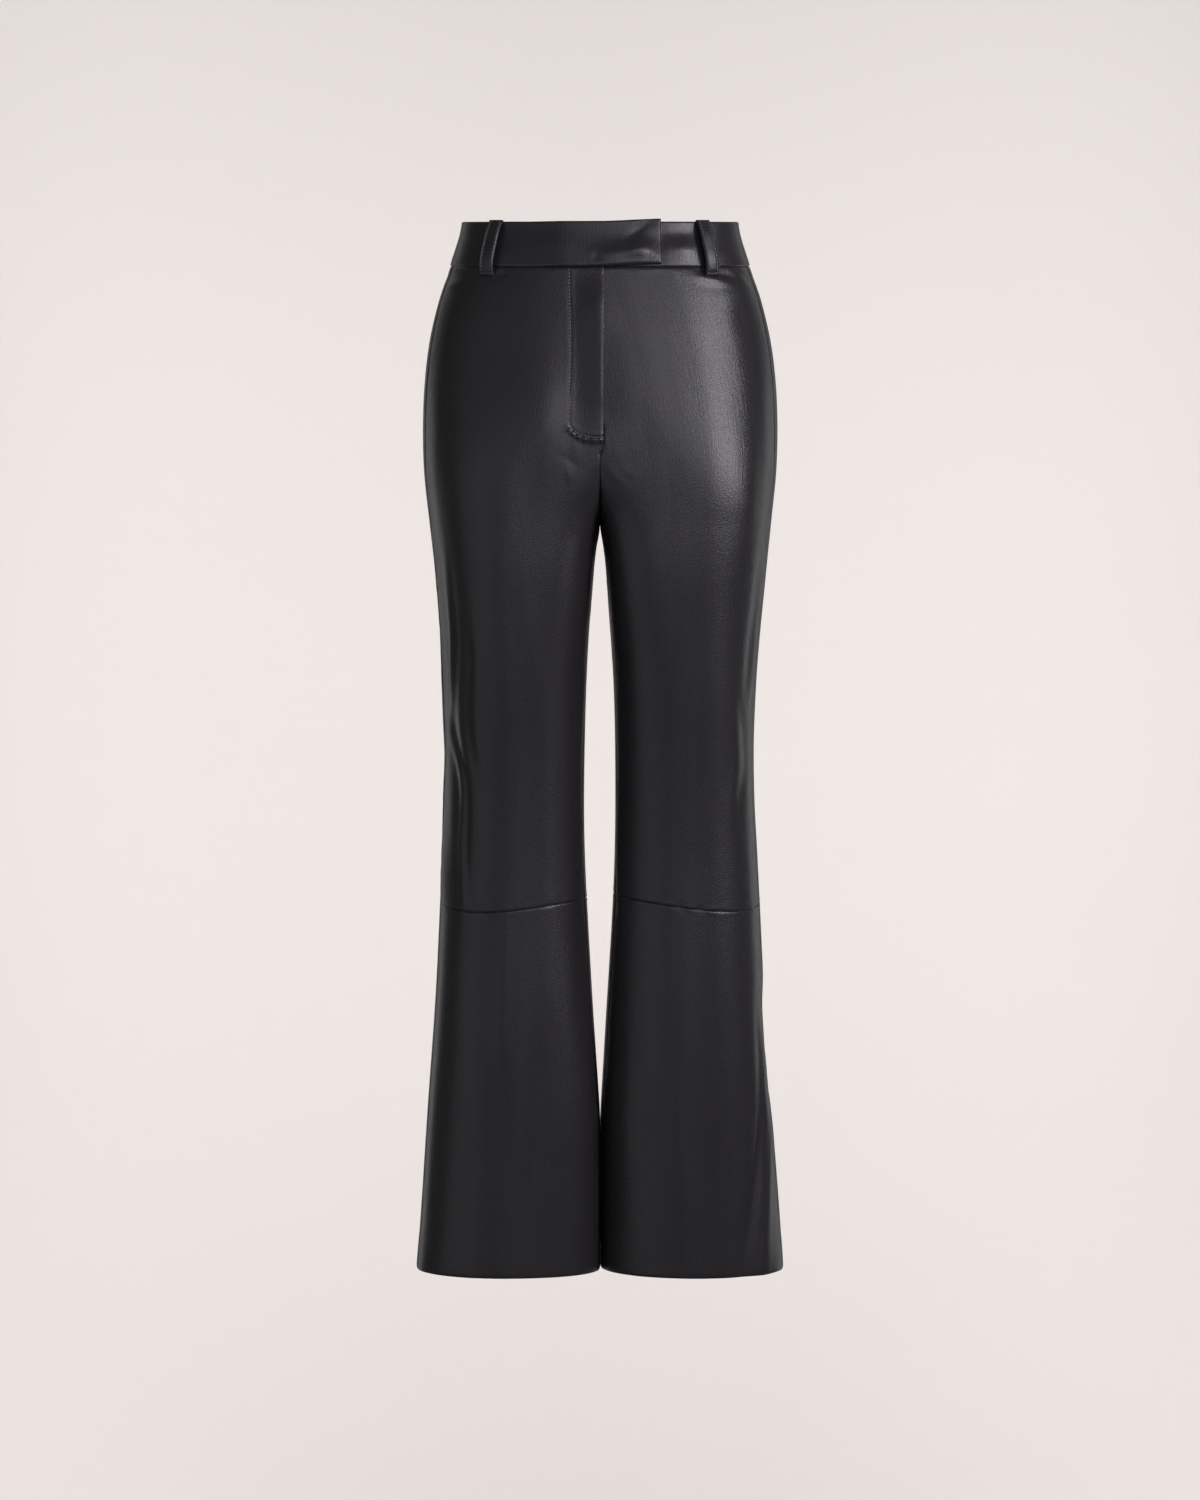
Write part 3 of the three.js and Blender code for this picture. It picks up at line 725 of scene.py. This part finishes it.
def upper_panel(leg, face, coarse, materials):
    """The front or back of a leg, from the waist seam to the knee seam."""
    fly = (leg, face) == ("right", "front")
    zones = [(14, 16, 1.0), (33, 2.5, 0.55)] if fly else []
    stations = graded(UPPER_WIDTHS[face], coarse, zones)
    body_height = -BAND_HEIGHT - CROTCH_Z
    turn_down = -BAND_HEIGHT - FLY_STITCH_TURN_Z
    zones = [(14, 22, 1.9), (body_height, 50, 1.6)] + ([(turn_down + 12, 18, 0.8)] if fly else [])
    body = graded(body_height, coarse * 1.2, zones)[:-1] / body_height
    thigh_height = CROTCH_Z - KNEE_TOP_Z
    thigh = graded(thigh_height, coarse * 1.3, [(0, 10, 1.4), (thigh_height, 9, 1.6)]) / thigh_height
    share, down = panel_grid(stations, np.concatenate((body, 1 + thigh)))
    middle = mix(CROTCH_Z, KNEE_MIDDLE_Z, clamp(down - 1))
    seam = knee_seam_z(leg, mix(*panel_edges(leg, face, middle), share)) + SEAM_GAP / 2
    z = np.where(down < 1, upper_levels(face, share, down), mix(CROTCH_Z, seam, down - 1))
    grid = (spread(leg, face, share, z), z, len(stations))
    build_panel(f"{face}_{leg}_upper", leg, face, grid, ("waist", "knee"), materials)


def lower_panel(leg, face, coarse, materials):
    """The front or back of a leg, from the knee seam to the hem."""
    stations = graded(LOWER_WIDTH, coarse)
    height = KNEE_TOP_Z - HEM_Z
    rows = graded(height, coarse * 1.3, [(0, 9, 1.6), (height - HEM_TURN_UP, 3, 1.6)]) / height
    share, down = panel_grid(stations, rows)
    middle = np.full(len(share), KNEE_MIDDLE_Z)
    seam = knee_seam_z(leg, mix(*panel_edges(leg, face, middle), share)) - SEAM_GAP / 2
    z = mix(seam, HEM_Z, down)
    grid = (mix(*panel_edges(leg, face, z), share), z, len(stations))
    build_panel(f"{face}_{leg}_lower", leg, face, grid, ("knee", "hem"), materials)


def panel_relief(leg, turn, z, points):
    """How far a panel's leather lies outside its plain form, its seams apart."""
    face_length = np.where(turn <= 1, length_at(leg, "front", z), length_at(leg, "back", z))
    around = (turn - 1) * face_length
    wander = 0.45 * smooth_noise(around / 46, z / 95, 40 + LEGS.index(leg))
    streaks = 0.2 * smooth_noise(around / 13, z / 120, 50 + LEGS.index(leg))
    soft = dent_depth(leg, turn, points) + crease_depth(leg, turn, points)
    return fold_depth(leg, turn, z) + soft + fly_lift(leg, turn, z) + wander + streaks


def build_panel(node, leg, face, grid, ends, materials):
    """Makes a panel's object from its grid of turns and levels."""
    turn, z, columns = grid
    first, last = panel_edges(leg, face, z)
    front_length = length_at(leg, "front", z)
    length = np.where(turn <= 1, front_length, length_at(leg, "back", z))
    near = np.abs(turn - first) * length
    far = np.abs(last - turn) * length
    across = (turn - 1) * length
    fly = ease(z, FLY_END_Z - FLY_FADE, FLY_END_Z) * (face == "front")
    # each seam's distance, how far it rolls, its puckers, their seed and the way along it
    seams = [(near, 1 - 0.4 * fly, 0.22 * (1 - fly), 20, z), (far, 1.0, 0.22, 21, z)]
    ends_seams = {
        "waist": (-BAND_HEIGHT - SEAM_GAP - z, 0.7, 0.3, 22, across),
        "knee": (1.7 * np.abs(z - knee_seam_z(leg, turn)), 0.6, 0.3, 23, across),
        "hem": (z - HEM_Z, 0.55, 0.12, 24, across),
    }
    seed = LEGS.index(leg) * 4 + FACES.index(face) * 2
    outside, normals = leg_surface(leg, turn, z)
    out = panel_relief(leg, turn, z, outside)
    if (leg, face) == ("right", "front"):
        out += stitch_groove(turn * front_length, z)
    rolled = np.zeros(len(z))
    for distance, roll, depth, seam_seed, along in seams + [ends_seams[end] for end in ends]:
        rolled = np.minimum(rolled, roll * seam_roll(distance))
        out = out + pucker(distance, along, seed + seam_seed, depth, 7.0, 6.5)
    centre = np.exp(-(((near if face == "front" else far) / 9) ** 2)) * ease(z, CROTCH_Z - 30, CROTCH_Z)
    moved = normals * (out + rolled)[:, None]
    moved[:, 0] *= 1 - centre
    thickness = mix(HEM_WALL, WALL, ease(z, HEM_Z + HEM_TURN_UP, HEM_Z + HEM_TURN_UP + 4))
    shape = (len(z) // columns, columns)
    leather_piece(node, shape, outside + moved, normals, thickness, (across, z), materials)


# Swells and dents of the waistband: along is the way from the centre front towards the side, and
# below 0 it is past the centre, on the tab.
BAND_DENTS = {
    "right": table(
        "along z wide tall slant depth",
        (-38, -31, 12, 9, 0, 3.6),
        (-18, -33, 24, 9, -0.05, 3.0),
        (-37, -10, 10, 5, -0.7, -1.4),
        (-55, -10, 8, 7, 0, 0.9),
        (3, -35, 3.5, 4, 0, -0.9),
        (-28, -42, 36, 2.6, 0, 0.9),
        (60, -22, 46, 9, 0, 0.5),
        (104, -30, 30, 7, 0.1, 0.5),
        (128, -36, 12, 8, 0, -0.8),
        (-52, -37, 7, 5, 0, 0.9),
    ),
    "left": table(
        "along z wide tall slant depth",
        (80, -28, 18, 9, 0, 2.4),
        (76, -11, 20, 6, 0, -0.7),
        (60, -24, 3.5, 18, 0, -0.9),
        (112, -24, 7, 16, 0, -0.8),
        (134, -32, 15, 8, 0, 0.9),
    ),
}


def band_surface(leg, along, z):
    """Points and normals of the waistband's outside, before its thickness."""
    front_length = length_at(leg, "front", z)
    back_length = length_at(leg, "back", z)
    beyond = along - front_length
    turn = np.where(beyond > 0, 1 + beyond / back_length, along / front_length)
    points, normals = leg_surface(leg, turn, z)
    top = 1.0 if leg == "right" else 0.0
    lift = TAB_LAYER * (1 - ease(along, TAB_LIFT_FULL, TAB_LIFT_FROM)) * top
    rise = TAB_RISE * ease(-along, 0, TAB_LENGTH) * top
    out = BAND_PROUD + lift + swells(BAND_DENTS[leg], along, z, "along")
    out = out + 0.25 * smooth_noise(along / 30, z / 22, 60 + LEGS.index(leg))
    points = points + normals * out[:, None]
    points[:, 2] += rise
    return points, normals


def waistband(leg, materials):
    """One half of the waistband, from its front end to the centre back."""
    front_end = -TAB_LENGTH if leg == "right" else -BAND_UNDERLAP
    stations = graded(BAND_REACH - front_end, 3.4, [(-front_end, 62, 2.2)], edge=0.35)
    rows = graded(BAND_HEIGHT, 2.4, edge=0.35)
    share, z = panel_grid(stations, -rows)
    centre_back = length_at(leg, "front", z) + length_at(leg, "back", z) - SEAM_GAP / 2
    along = mix(front_end, centre_back, share)
    outside, normals = band_surface(leg, along, z)
    rolled = seam_roll(np.minimum(-z, BAND_HEIGHT + z), 1.0, 1.6)
    rolled = np.minimum(rolled, seam_roll(along - front_end, 1.0, 1.8))
    rolled = np.minimum(rolled, seam_roll(centre_back - along, 0.9, 2.4))
    outside = outside + normals * rolled[:, None]
    if leg == "right":
        outside[:, 0] += 0.5 * np.sin(z / 7.5) * clamp(1 - (along - front_end) / 14)
    shape = (len(rows), len(stations))
    leather_piece(f"waistband_{leg}", shape, outside, normals, BAND_WALL, (along, z), materials)


# The leg and the turn at which each belt loop sits
LOOPS = {
    "belt_loop_front_right": ("right", 0.555),
    "belt_loop_front_left": ("left", 0.548),
    "belt_loop_back_right": ("right", 1.52),
    "belt_loop_back_left": ("left", 1.52),
    "belt_loop_centre_back": ("left", 2.0),
}
LOOP_STITCH_INSET = 2.3


def loop_face(name, across, z, inner=False):
    """Points of a belt loop's outside, or of its inside, and the normals there."""
    leg, turn = LOOPS[name]
    length = length_at(leg, "front" if turn < 1 else "back", z)
    points, normals = leg_surface(leg, turn + across / length, z)
    bottom = -BAND_HEIGHT - LOOP_BELOW
    t = (LOOP_ABOVE - z) / (LOOP_ABOVE - bottom)
    from_end = np.minimum(z - bottom, LOOP_ABOVE - z)
    seat = LOOP_CLEAR + BAND_PROUD * ease(z, -BAND_HEIGHT - LOOP_FOLD, -BAND_HEIGHT - LOOP_FOLD / 2)
    bow = LOOP_GAP * (1 - np.abs(2 * t - 1) ** 3.2)
    folded = LOOP_LAYER * (1 - ease(from_end, LOOP_FOLD / 2, LOOP_FOLD))
    inside = seat + np.maximum(0, bow - folded * 0.6)
    edge = np.abs(2 * across) / LOOP_WIDTH
    from_stitch = np.abs(across) - LOOP_WIDTH / 2 + LOOP_STITCH_INSET
    ridge = 0.75 * np.exp(-(((from_stitch - 1.3) / 0.8) ** 2))
    crown = 0.7 * edge**10 + 0.55 * np.exp(-((from_stitch / 0.7) ** 2)) - ridge
    outside = inside + LOOP_LAYER + folded - crown
    end_round = 0.7 * clamp(1 - from_end / 1.4) ** 2
    height = inside if inner else outside - end_round
    return points + normals * height[:, None], normals


def belt_loop(name, materials):
    """A belt loop: a strap folded under at both ends, which bows out over the band."""
    across = graded(LOOP_WIDTH, 0.5, edge=0.25) - LOOP_WIDTH / 2
    rows = LOOP_ABOVE - graded(LOOP_ABOVE + BAND_HEIGHT + LOOP_BELOW, 1.6, edge=0.35)
    x, z = (values.ravel() for values in np.meshgrid(across, rows))
    outside, normals = loop_face(name, x, z)
    inside, _ = loop_face(name, x, z, inner=True)
    thickness = np.linalg.norm(outside - inside, axis=1)
    shape = (len(rows), len(across))
    leather_piece(name, shape, outside, normals, thickness, (x, z), materials)


# Materials


def new_material(name):
    material = bpy.data.materials.new(name)
    material.use_nodes = True
    tree = material.node_tree
    return material, tree, tree.nodes["Principled BSDF"]


def feed(target, **inputs):
    """Sets or links the inputs of a node. A name's _ stands for a space."""
    for name, value in inputs.items():
        socket = target.inputs[name.replace("_", " ")]
        if isinstance(value, bpy.types.NodeSocket):
            target.id_data.links.new(value, socket)
        else:
            socket.default_value = value
    return target


def new_node(tree, kind, **inputs):
    """A new node with its inputs set or linked."""
    return feed(tree.nodes.new(kind), **inputs)


def new_tree(name, kind, inputs, outputs):
    """A node tree with named sockets, given as (name, kind of socket, value or None)."""
    tree = bpy.data.node_groups.new(name, kind)
    for way, sockets in (("INPUT", inputs), ("OUTPUT", outputs)):
        for label, socket_kind, value in sockets:
            socket = tree.interface.new_socket(label, in_out=way, socket_type=f"NodeSocket{socket_kind}")
            if value is not None:
                socket.default_value = value
    return tree, tree.nodes.new("NodeGroupInput").outputs, tree.nodes.new("NodeGroupOutput")


def leather_grain_group():
    """Pebbled grain with fine drawn-out creases, on the pattern's own coordinates."""
    tree, given, result = new_tree(
        "Leather grain",
        "ShaderNodeTree",
        (("Vector", "Vector", None), ("Grain scale", "Float", 900.0), ("Crease scale", "Float", 560.0)),
        (("Height", "Float", None), ("Patches", "Float", None), ("Creases", "Float", None)),
    )
    place = given["Vector"]
    pebbles = new_node(tree, "ShaderNodeTexVoronoi", Vector=place, Scale=given["Grain scale"])
    pebbles.feature = "SMOOTH_F1"
    feed(pebbles, Smoothness=0.6)
    stretch = new_node(tree, "ShaderNodeMapping", Vector=place, Scale=(1.0, 0.06, 1.0)).outputs["Vector"]
    creases = new_node(
        tree,
        "ShaderNodeTexNoise",
        Vector=stretch,
        Scale=given["Crease scale"],
        Detail=5.0,
        Roughness=0.62,
        Distortion=0.12,
    ).outputs["Fac"]
    patches = new_node(tree, "ShaderNodeTexNoise", Vector=stretch, Scale=14.0, Detail=4.0).outputs["Fac"]
    blend = new_node(tree, "ShaderNodeMix", Factor=0.62, A=pebbles.outputs["Distance"], B=creases)
    feed(result, Height=blend.outputs["Result"], Patches=patches, Creases=creases)
    return tree


def ramp(tree, source, low, high, colours):
    """A colour ramp between two values of a source socket."""
    stops = new_node(tree, "ShaderNodeValToRGB", Fac=source)
    for stop, position, colour in zip(stops.color_ramp.elements, (low, high), colours):
        stop.position = position
        stop.color = (*colour, 1.0)
    return stops.outputs["Color"]


def between(tree, source, low, high):
    """A number from low to high for a source from 0 to 1."""
    return new_node(tree, "ShaderNodeMapRange", Value=source, To_Min=low, To_Max=high).outputs["Result"]


def pattern_place(tree):
    """The coordinates of a piece's own pattern."""
    place = tree.nodes.new("ShaderNodeUVMap")
    place.uv_map = "pattern"
    return place.outputs["UV"]


def bump(tree, height, strength, distance):
    relief = new_node(tree, "ShaderNodeBump", Strength=strength, Distance=distance, Height=height)
    return relief.outputs["Normal"]


def leather_material(look):
    """Soft black leather with a satin finish."""
    material, tree, shader = new_material("black_leather")
    grain = tree.nodes.new("ShaderNodeGroup")
    grain.node_tree = leather_grain_group()
    feed(grain, Vector=pattern_place(tree))
    dark, light = (0.0240, 0.0222, 0.0250), (0.0320, 0.0298, 0.0332)
    feed(
        shader,
        Base_Color=ramp(tree, grain.outputs["Patches"], 0.3, 0.7, (dark, light)),
        Roughness=between(tree, grain.outputs["Creases"], look.roughness - 0.05, look.roughness + 0.06),
        Normal=bump(tree, grain.outputs["Height"], 0.8, look.grain_depth),
        Specular_IOR_Level=0.5,
        Coat_Weight=0.12,
        Coat_Roughness=0.28,
    )
    return material


def backing_material():
    """The brushed knit on the leather's inside."""
    material, tree, shader = new_material("knit_backing")
    place = pattern_place(tree)
    ribs = new_node(tree, "ShaderNodeTexWave", Vector=place, Scale=260.0, Distortion=1.2).outputs["Fac"]
    fuzz = new_node(tree, "ShaderNodeTexNoise", Vector=place, Scale=900.0, Detail=3.0).outputs["Fac"]
    feed(
        shader,
        Base_Color=ramp(tree, fuzz, 0.3, 0.75, ((0.016, 0.016, 0.018), (0.045, 0.044, 0.047))),
        Roughness=between(tree, fuzz, 0.8, 0.98),
        Normal=bump(tree, ribs, 0.6, 0.0003),
    )
    return material


def thread_material():
    """Black sewing thread, painted light grey with lighter twisted bands as a painted highlight for its
    shine.
    """
    material, tree, shader = new_material("black_thread_painted_sheen")
    place = tree.nodes.new("ShaderNodeTexCoord").outputs["Object"]
    twist_and_sheen = new_node(tree, "ShaderNodeTexWave", Vector=place, Scale=1500.0)
    twist_and_sheen.bands_direction = "DIAGONAL"
    feed(
        shader,
        # painted highlight: the black thread's colour is lifted to grey and lighter in the twist's bands,
        # standing in for its shine
        Base_Color=ramp(tree, twist_and_sheen.outputs["Fac"], 0.2, 0.8, ((0.16, 0.155, 0.165), (0.4, 0.385, 0.41))),
        Roughness=between(tree, twist_and_sheen.outputs["Fac"], 0.36, 0.5),
    )
    return material


def stage_material(look):
    """Matt pale paper with a faint warm mottle, dimmer where the leather's shine sees it."""
    material, tree, shader = new_material("studio_paper")
    place = tree.nodes.new("ShaderNodeTexCoord").outputs["Object"]
    mottle = new_node(tree, "ShaderNodeTexNoise", Vector=place, Scale=0.7, Detail=2.0).outputs["Fac"]
    pale = tuple(look.backdrop)
    dim = tree.nodes.new("ShaderNodeMix")
    dim.data_type = "RGBA"
    feed(
        dim,
        Factor=tree.nodes.new("ShaderNodeLightPath").outputs["Is Glossy Ray"],
        A=ramp(tree, mottle, 0.25, 0.75, (pale, tuple(c * 0.985 for c in pale))),
        B=(*(c * 0.3 for c in pale), 1.0),
    )
    feed(shader, Base_Color=dim.outputs["Result"], Roughness=0.95, Specular_IOR_Level=0.1)
    return material


def find_material(name, maker, *values):
    return bpy.data.materials.get(name) or maker(*values)


# Stitching


def stitch_tree():
    """Geometry nodes that lay small stitches along a curve."""
    tree, given, result = new_tree(
        "Stitch run",
        "GeometryNodeTree",
        (
            ("Geometry", "Geometry", None),
            ("Spacing", "Float", 0.003),
            ("Length", "Float", 0.0021),
            ("Thread radius", "Float", 0.0002),
            ("Thread", "Material", None),
        ),
        (("Geometry", "Geometry", None),),
    )
    resample = tree.nodes.new("GeometryNodeResampleCurve")
    resample.mode = "LENGTH"
    feed(resample, Curve=given["Geometry"], Length=given["Spacing"])
    bead = new_node(tree, "GeometryNodeMeshUVSphere", Segments=6, Rings=5, Radius=1.0)
    half = tree.nodes.new("ShaderNodeMath")
    half.operation = "MULTIPLY"
    half.inputs[1].default_value = 0.5
    tree.links.new(given["Length"], half.inputs[0])
    radius = given["Thread radius"]
    size = new_node(tree, "ShaderNodeCombineXYZ", X=radius, Y=radius, Z=half.outputs["Value"])
    tangent = tree.nodes.new("GeometryNodeInputTangent").outputs["Tangent"]
    aim = new_node(tree, "FunctionNodeAlignRotationToVector", Vector=tangent)
    aim.axis = "Z"
    place = new_node(
        tree,
        "GeometryNodeInstanceOnPoints",
        Points=resample.outputs["Curve"],
        Instance=bead.outputs["Mesh"],
        Rotation=aim.outputs["Rotation"],
        Scale=size.outputs["Vector"],
    )
    realize = new_node(tree, "GeometryNodeRealizeInstances", Geometry=place.outputs["Instances"])
    whole = realize.outputs["Geometry"]
    paint = new_node(tree, "GeometryNodeSetMaterial", Geometry=whole, Material=given["Thread"])
    feed(result, Geometry=paint.outputs["Geometry"])
    return tree


def sew(name, runs, thread, settings):
    """Stitches along runs of points, as one object."""
    curve = bpy.data.curves.new(name + "_path", "CURVE")
    curve.dimensions = "3D"
    for run in runs:
        spline = curve.splines.new("POLY")
        spline.points.add(len(run) - 1)
        spline.points.foreach_set("co", np.column_stack((run * MM, np.ones(len(run)))).ravel())
    guide = new_object(name + "_path", curve)
    tree = bpy.data.node_groups.get("Stitch run") or stitch_tree()
    modifier = guide.modifiers.new("stitches", "NODES")
    modifier.node_group = tree
    wanted = {
        "Spacing": settings.stitch_spacing,
        "Length": settings.stitch_length,
        "Thread radius": settings.thread_radius,
        "Thread": thread,
    }
    for item in tree.interface.items_tree:
        if item.in_out == "INPUT" and item.name in wanted:
            modifier[item.identifier] = wanted[item.name]
    bpy.context.view_layer.update()
    evaluated = guide.evaluated_get(bpy.context.evaluated_depsgraph_get())
    mesh = bpy.data.meshes.new_from_object(evaluated)
    mesh.name = name
    bpy.data.objects.remove(guide)
    mesh.polygons.foreach_set("use_smooth", np.ones(len(mesh.polygons), dtype=bool))
    piece = new_object(name, mesh)
    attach(piece, "root")


def fly_stitch_run():
    """The fly's stitching on the leather."""
    across, z = fly_stitch_path()
    turn = across / length_at("right", "front", z)
    points, normals = leg_surface("right", turn, z)
    out = panel_relief("right", turn, z, points) + stitch_groove(across, z)
    return points + normals * (out + 0.3)[:, None]


def loop_stitch_runs(name):
    """Two rows of stitching, one along each edge of a belt loop."""
    z = np.arange(LOOP_ABOVE - 3.0, -BAND_HEIGHT - LOOP_BELOW + 1.2, -1.5)
    inset = LOOP_WIDTH / 2 - LOOP_STITCH_INSET
    runs = []
    for side in (-1, 1):
        points, normals = loop_face(name, np.full(len(z), side * inset), z)
        runs.append(points + normals * 0.15)
    return runs


# Stage


def area_light(name, at, aim, wide, tall, power, colour):
    light = bpy.data.lights.new(name, "AREA")
    light.shape = "RECTANGLE"
    light.size, light.size_y = wide, tall
    light.energy = power
    light.color = colour
    lamp = new_object(name, light)
    lamp.location = at
    lamp.rotation_euler = (Vector(aim) - Vector(at)).to_track_quat("-Z", "Y").to_euler()


def cyclorama(look):
    """A pale floor that sweeps up into a wall behind the trousers."""
    floor_z = look.floor
    wall_y = look.wall
    radius = 1.6
    profile = [(-4.0, floor_z), (wall_y - radius, floor_z)]
    for step in range(1, 13):
        angle = step / 12 * math.pi / 2
        profile.append((wall_y - radius + radius * math.sin(angle), floor_z + radius * (1 - math.cos(angle))))
    profile.append((wall_y, floor_z + 5.0))
    half = 2.3
    vertices = [(x, y, z) for y, z in profile for x in (-half, half)]
    faces = [(2 * i, 2 * i + 1, 2 * i + 3, 2 * i + 2) for i in range(len(profile) - 1)]
    mesh = bpy.data.meshes.new("studio_sweep")
    mesh.from_pydata(vertices, [], faces)
    mesh.polygons.foreach_set("use_smooth", [True] * len(faces))
    mesh.materials.append(find_material("studio_paper", stage_material, look))
    sweep = new_object("studio_sweep", mesh)


def length_setting(name, description, default):
    """A length in metres that a maker may change."""
    return bpy.props.FloatProperty(name=name, description=description, default=default, unit="LENGTH")


class TrouserLook(bpy.types.PropertyGroup):
    """Sizes and finishes that a maker may change."""

    column_step: bpy.props.FloatProperty(
        name="Mesh step", description="Widest mesh step on a panel, in millimetres", default=3.6, min=1.0
    )
    roughness: bpy.props.FloatProperty(
        name="Leather roughness", description="Roughness of the leather's finish", default=0.31, min=0, max=1
    )
    grain_depth: length_setting("Grain depth", "Depth of the grain", 0.00045)
    stitch_spacing: length_setting("Stitch spacing", "From one stitch to the next", 0.0034)
    stitch_length: length_setting("Stitch length", "Length of the thread that shows", 0.0021)
    thread_radius: length_setting("Thread radius", "Half of the thread's thickness", 0.00045)
    backdrop: bpy.props.FloatVectorProperty(
        name="Backdrop",
        description="Colour of the studio paper",
        default=(0.83, 0.78, 0.757),
        subtype="COLOR",
    )
    floor: length_setting("Floor level", "Height of the studio floor", -2.75)
    wall: length_setting("Wall distance", "How far the wall lies behind", 5.5)
    camera_distance: length_setting("Camera distance", "From the camera to the side seams", 3.0)
    camera_height: length_setting("Camera height", "Level of the camera", -0.528)


def leather_slots(look):
    return [
        find_material("black_leather", leather_material, look),
        find_material("knit_backing", backing_material),
    ]


class TROUSERS_OT_leg_panels(bpy.types.Operator):
    """Makes the fronts and backs of both legs"""

    bl_idname = "trousers.leg_panels"
    bl_label = "Leg panels"

    def execute(self, context):
        look = context.scene.trouser_look
        materials = leather_slots(look)
        for leg in LEGS:
            for face in FACES:
                step = look.column_step * (1.0 if face == "front" else 1.25)
                upper_panel(leg, face, step, materials)
                lower_panel(leg, face, step, materials)
        return {"FINISHED"}


class TROUSERS_OT_waistband(bpy.types.Operator):
    """Makes both halves of the waistband"""

    bl_idname = "trousers.waistband"
    bl_label = "Waistband"

    def execute(self, context):
        for leg in LEGS:
            waistband(leg, leather_slots(context.scene.trouser_look))
        return {"FINISHED"}


class TROUSERS_OT_belt_loops(bpy.types.Operator):
    """Makes the belt loops and their stitching"""

    bl_idname = "trousers.belt_loops"
    bl_label = "Belt loops"

    def execute(self, context):
        look = context.scene.trouser_look
        thread = find_material("black_thread_painted_sheen", thread_material)
        for name in LOOPS:
            belt_loop(name, leather_slots(look)[:1])
            sew(f"{name}_stitches", loop_stitch_runs(name), thread, look)
        return {"FINISHED"}


class TROUSERS_OT_fly_stitching(bpy.types.Operator):
    """Sews the J of stitching beside the fly"""

    bl_idname = "trousers.fly_stitching"
    bl_label = "Fly stitching"

    def execute(self, context):
        thread = find_material("black_thread_painted_sheen", thread_material)
        sew("fly_stitches", [fly_stitch_run()], thread, context.scene.trouser_look)
        return {"FINISHED"}


class TROUSERS_OT_stage(bpy.types.Operator):
    """Makes the studio: sweep, lights and camera"""

    bl_idname = "trousers.stage"
    bl_label = "Studio"

    def execute(self, context):
        scene = context.scene
        look = scene.trouser_look
        cyclorama(look)
        middle = (0.0, 0.0, look.camera_height)
        hips = (0, 0, 0.07)
        for name, at, aim, wide, tall, power, colour in (
            ("key_wide", (1.33, -2.0, 0.42), hips, 2.6, 1.25, 13.5, STUDIO_TINT),
            ("key_edge", (1.95, -1.4, 0.42), hips, 0.8, 1.25, 23, STUDIO_TINT),
            ("front_fill", (0.15, -3.4, 0.3), middle, 1.6, 2.6, 8.5, STUDIO_TINT),
            ("left_fill", (-2.4, -2.0, -0.4), middle, 3.0, 2.6, 8.5, STUDIO_TINT),
            ("rim_left", (-1.7, 1.3, -0.55), middle, 0.3, 1.6, 1.2, WHITE),
            ("rim_right", (1.8, 1.2, -0.55), middle, 0.3, 1.6, 2, WHITE),
        ):
            area_light(name, at, aim, wide, tall, power, colour)
        for side in (-1, 1):
            at = (side * 2.4, look.wall - 2.5, 0.2)
            area_light(f"wall_wash_{side + 2}", at, (side * -1.6, look.wall, 0.1), 1.6, 6.0, 100, WHITE)
        world = bpy.data.worlds.new("studio_air")
        world.use_nodes = True
        feed(world.node_tree.nodes["Background"], Color=(0.9, 0.88, 0.87, 1), Strength=0.08)
        scene.world = world
        scene.view_settings.view_transform = "Standard"
        camera = bpy.data.cameras.new("camera")
        camera.sensor_fit = "VERTICAL"
        camera.sensor_height = 36.0
        camera.lens = 36.0 * look.camera_distance / 1.5
        camera.clip_end = 50.0
        eye = new_object("camera", camera)
        eye.location = (0.0, -look.camera_distance, look.camera_height)
        eye.rotation_euler = (math.radians(90), 0, 0)
        scene.camera = eye
        return {"FINISHED"}


class TROUSERS_PT_panel(bpy.types.Panel):
    """The add-on's panel in the sidebar"""

    bl_idname = "TROUSERS_PT_panel"
    bl_label = "Trousers"
    bl_space_type = "VIEW_3D"
    bl_region_type = "UI"
    bl_category = "Trousers"

    def draw(self, context):
        look = context.scene.trouser_look
        for name in TrouserLook.__annotations__:
            self.layout.prop(look, name)
        for operator in OPERATORS:
            self.layout.operator(operator.bl_idname)


OPERATORS = (
    TROUSERS_OT_leg_panels,
    TROUSERS_OT_waistband,
    TROUSERS_OT_belt_loops,
    TROUSERS_OT_fly_stitching,
    TROUSERS_OT_stage,
)
CLASSES = (TrouserLook, *OPERATORS, TROUSERS_PT_panel)


def register():
    for cls in CLASSES:
        bpy.utils.register_class(cls)
    bpy.types.Scene.trouser_look = bpy.props.PointerProperty(type=TrouserLook)


def unregister():
    del bpy.types.Scene.trouser_look
    for cls in reversed(CLASSES):
        bpy.utils.unregister_class(cls)


def main():
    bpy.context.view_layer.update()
    register()
    bpy.ops.trousers.leg_panels()
    bpy.ops.trousers.waistband()
    bpy.ops.trousers.belt_loops()
    bpy.ops.trousers.fly_stitching()
    bpy.ops.trousers.stage()


if __name__ == "__main__":
    main()
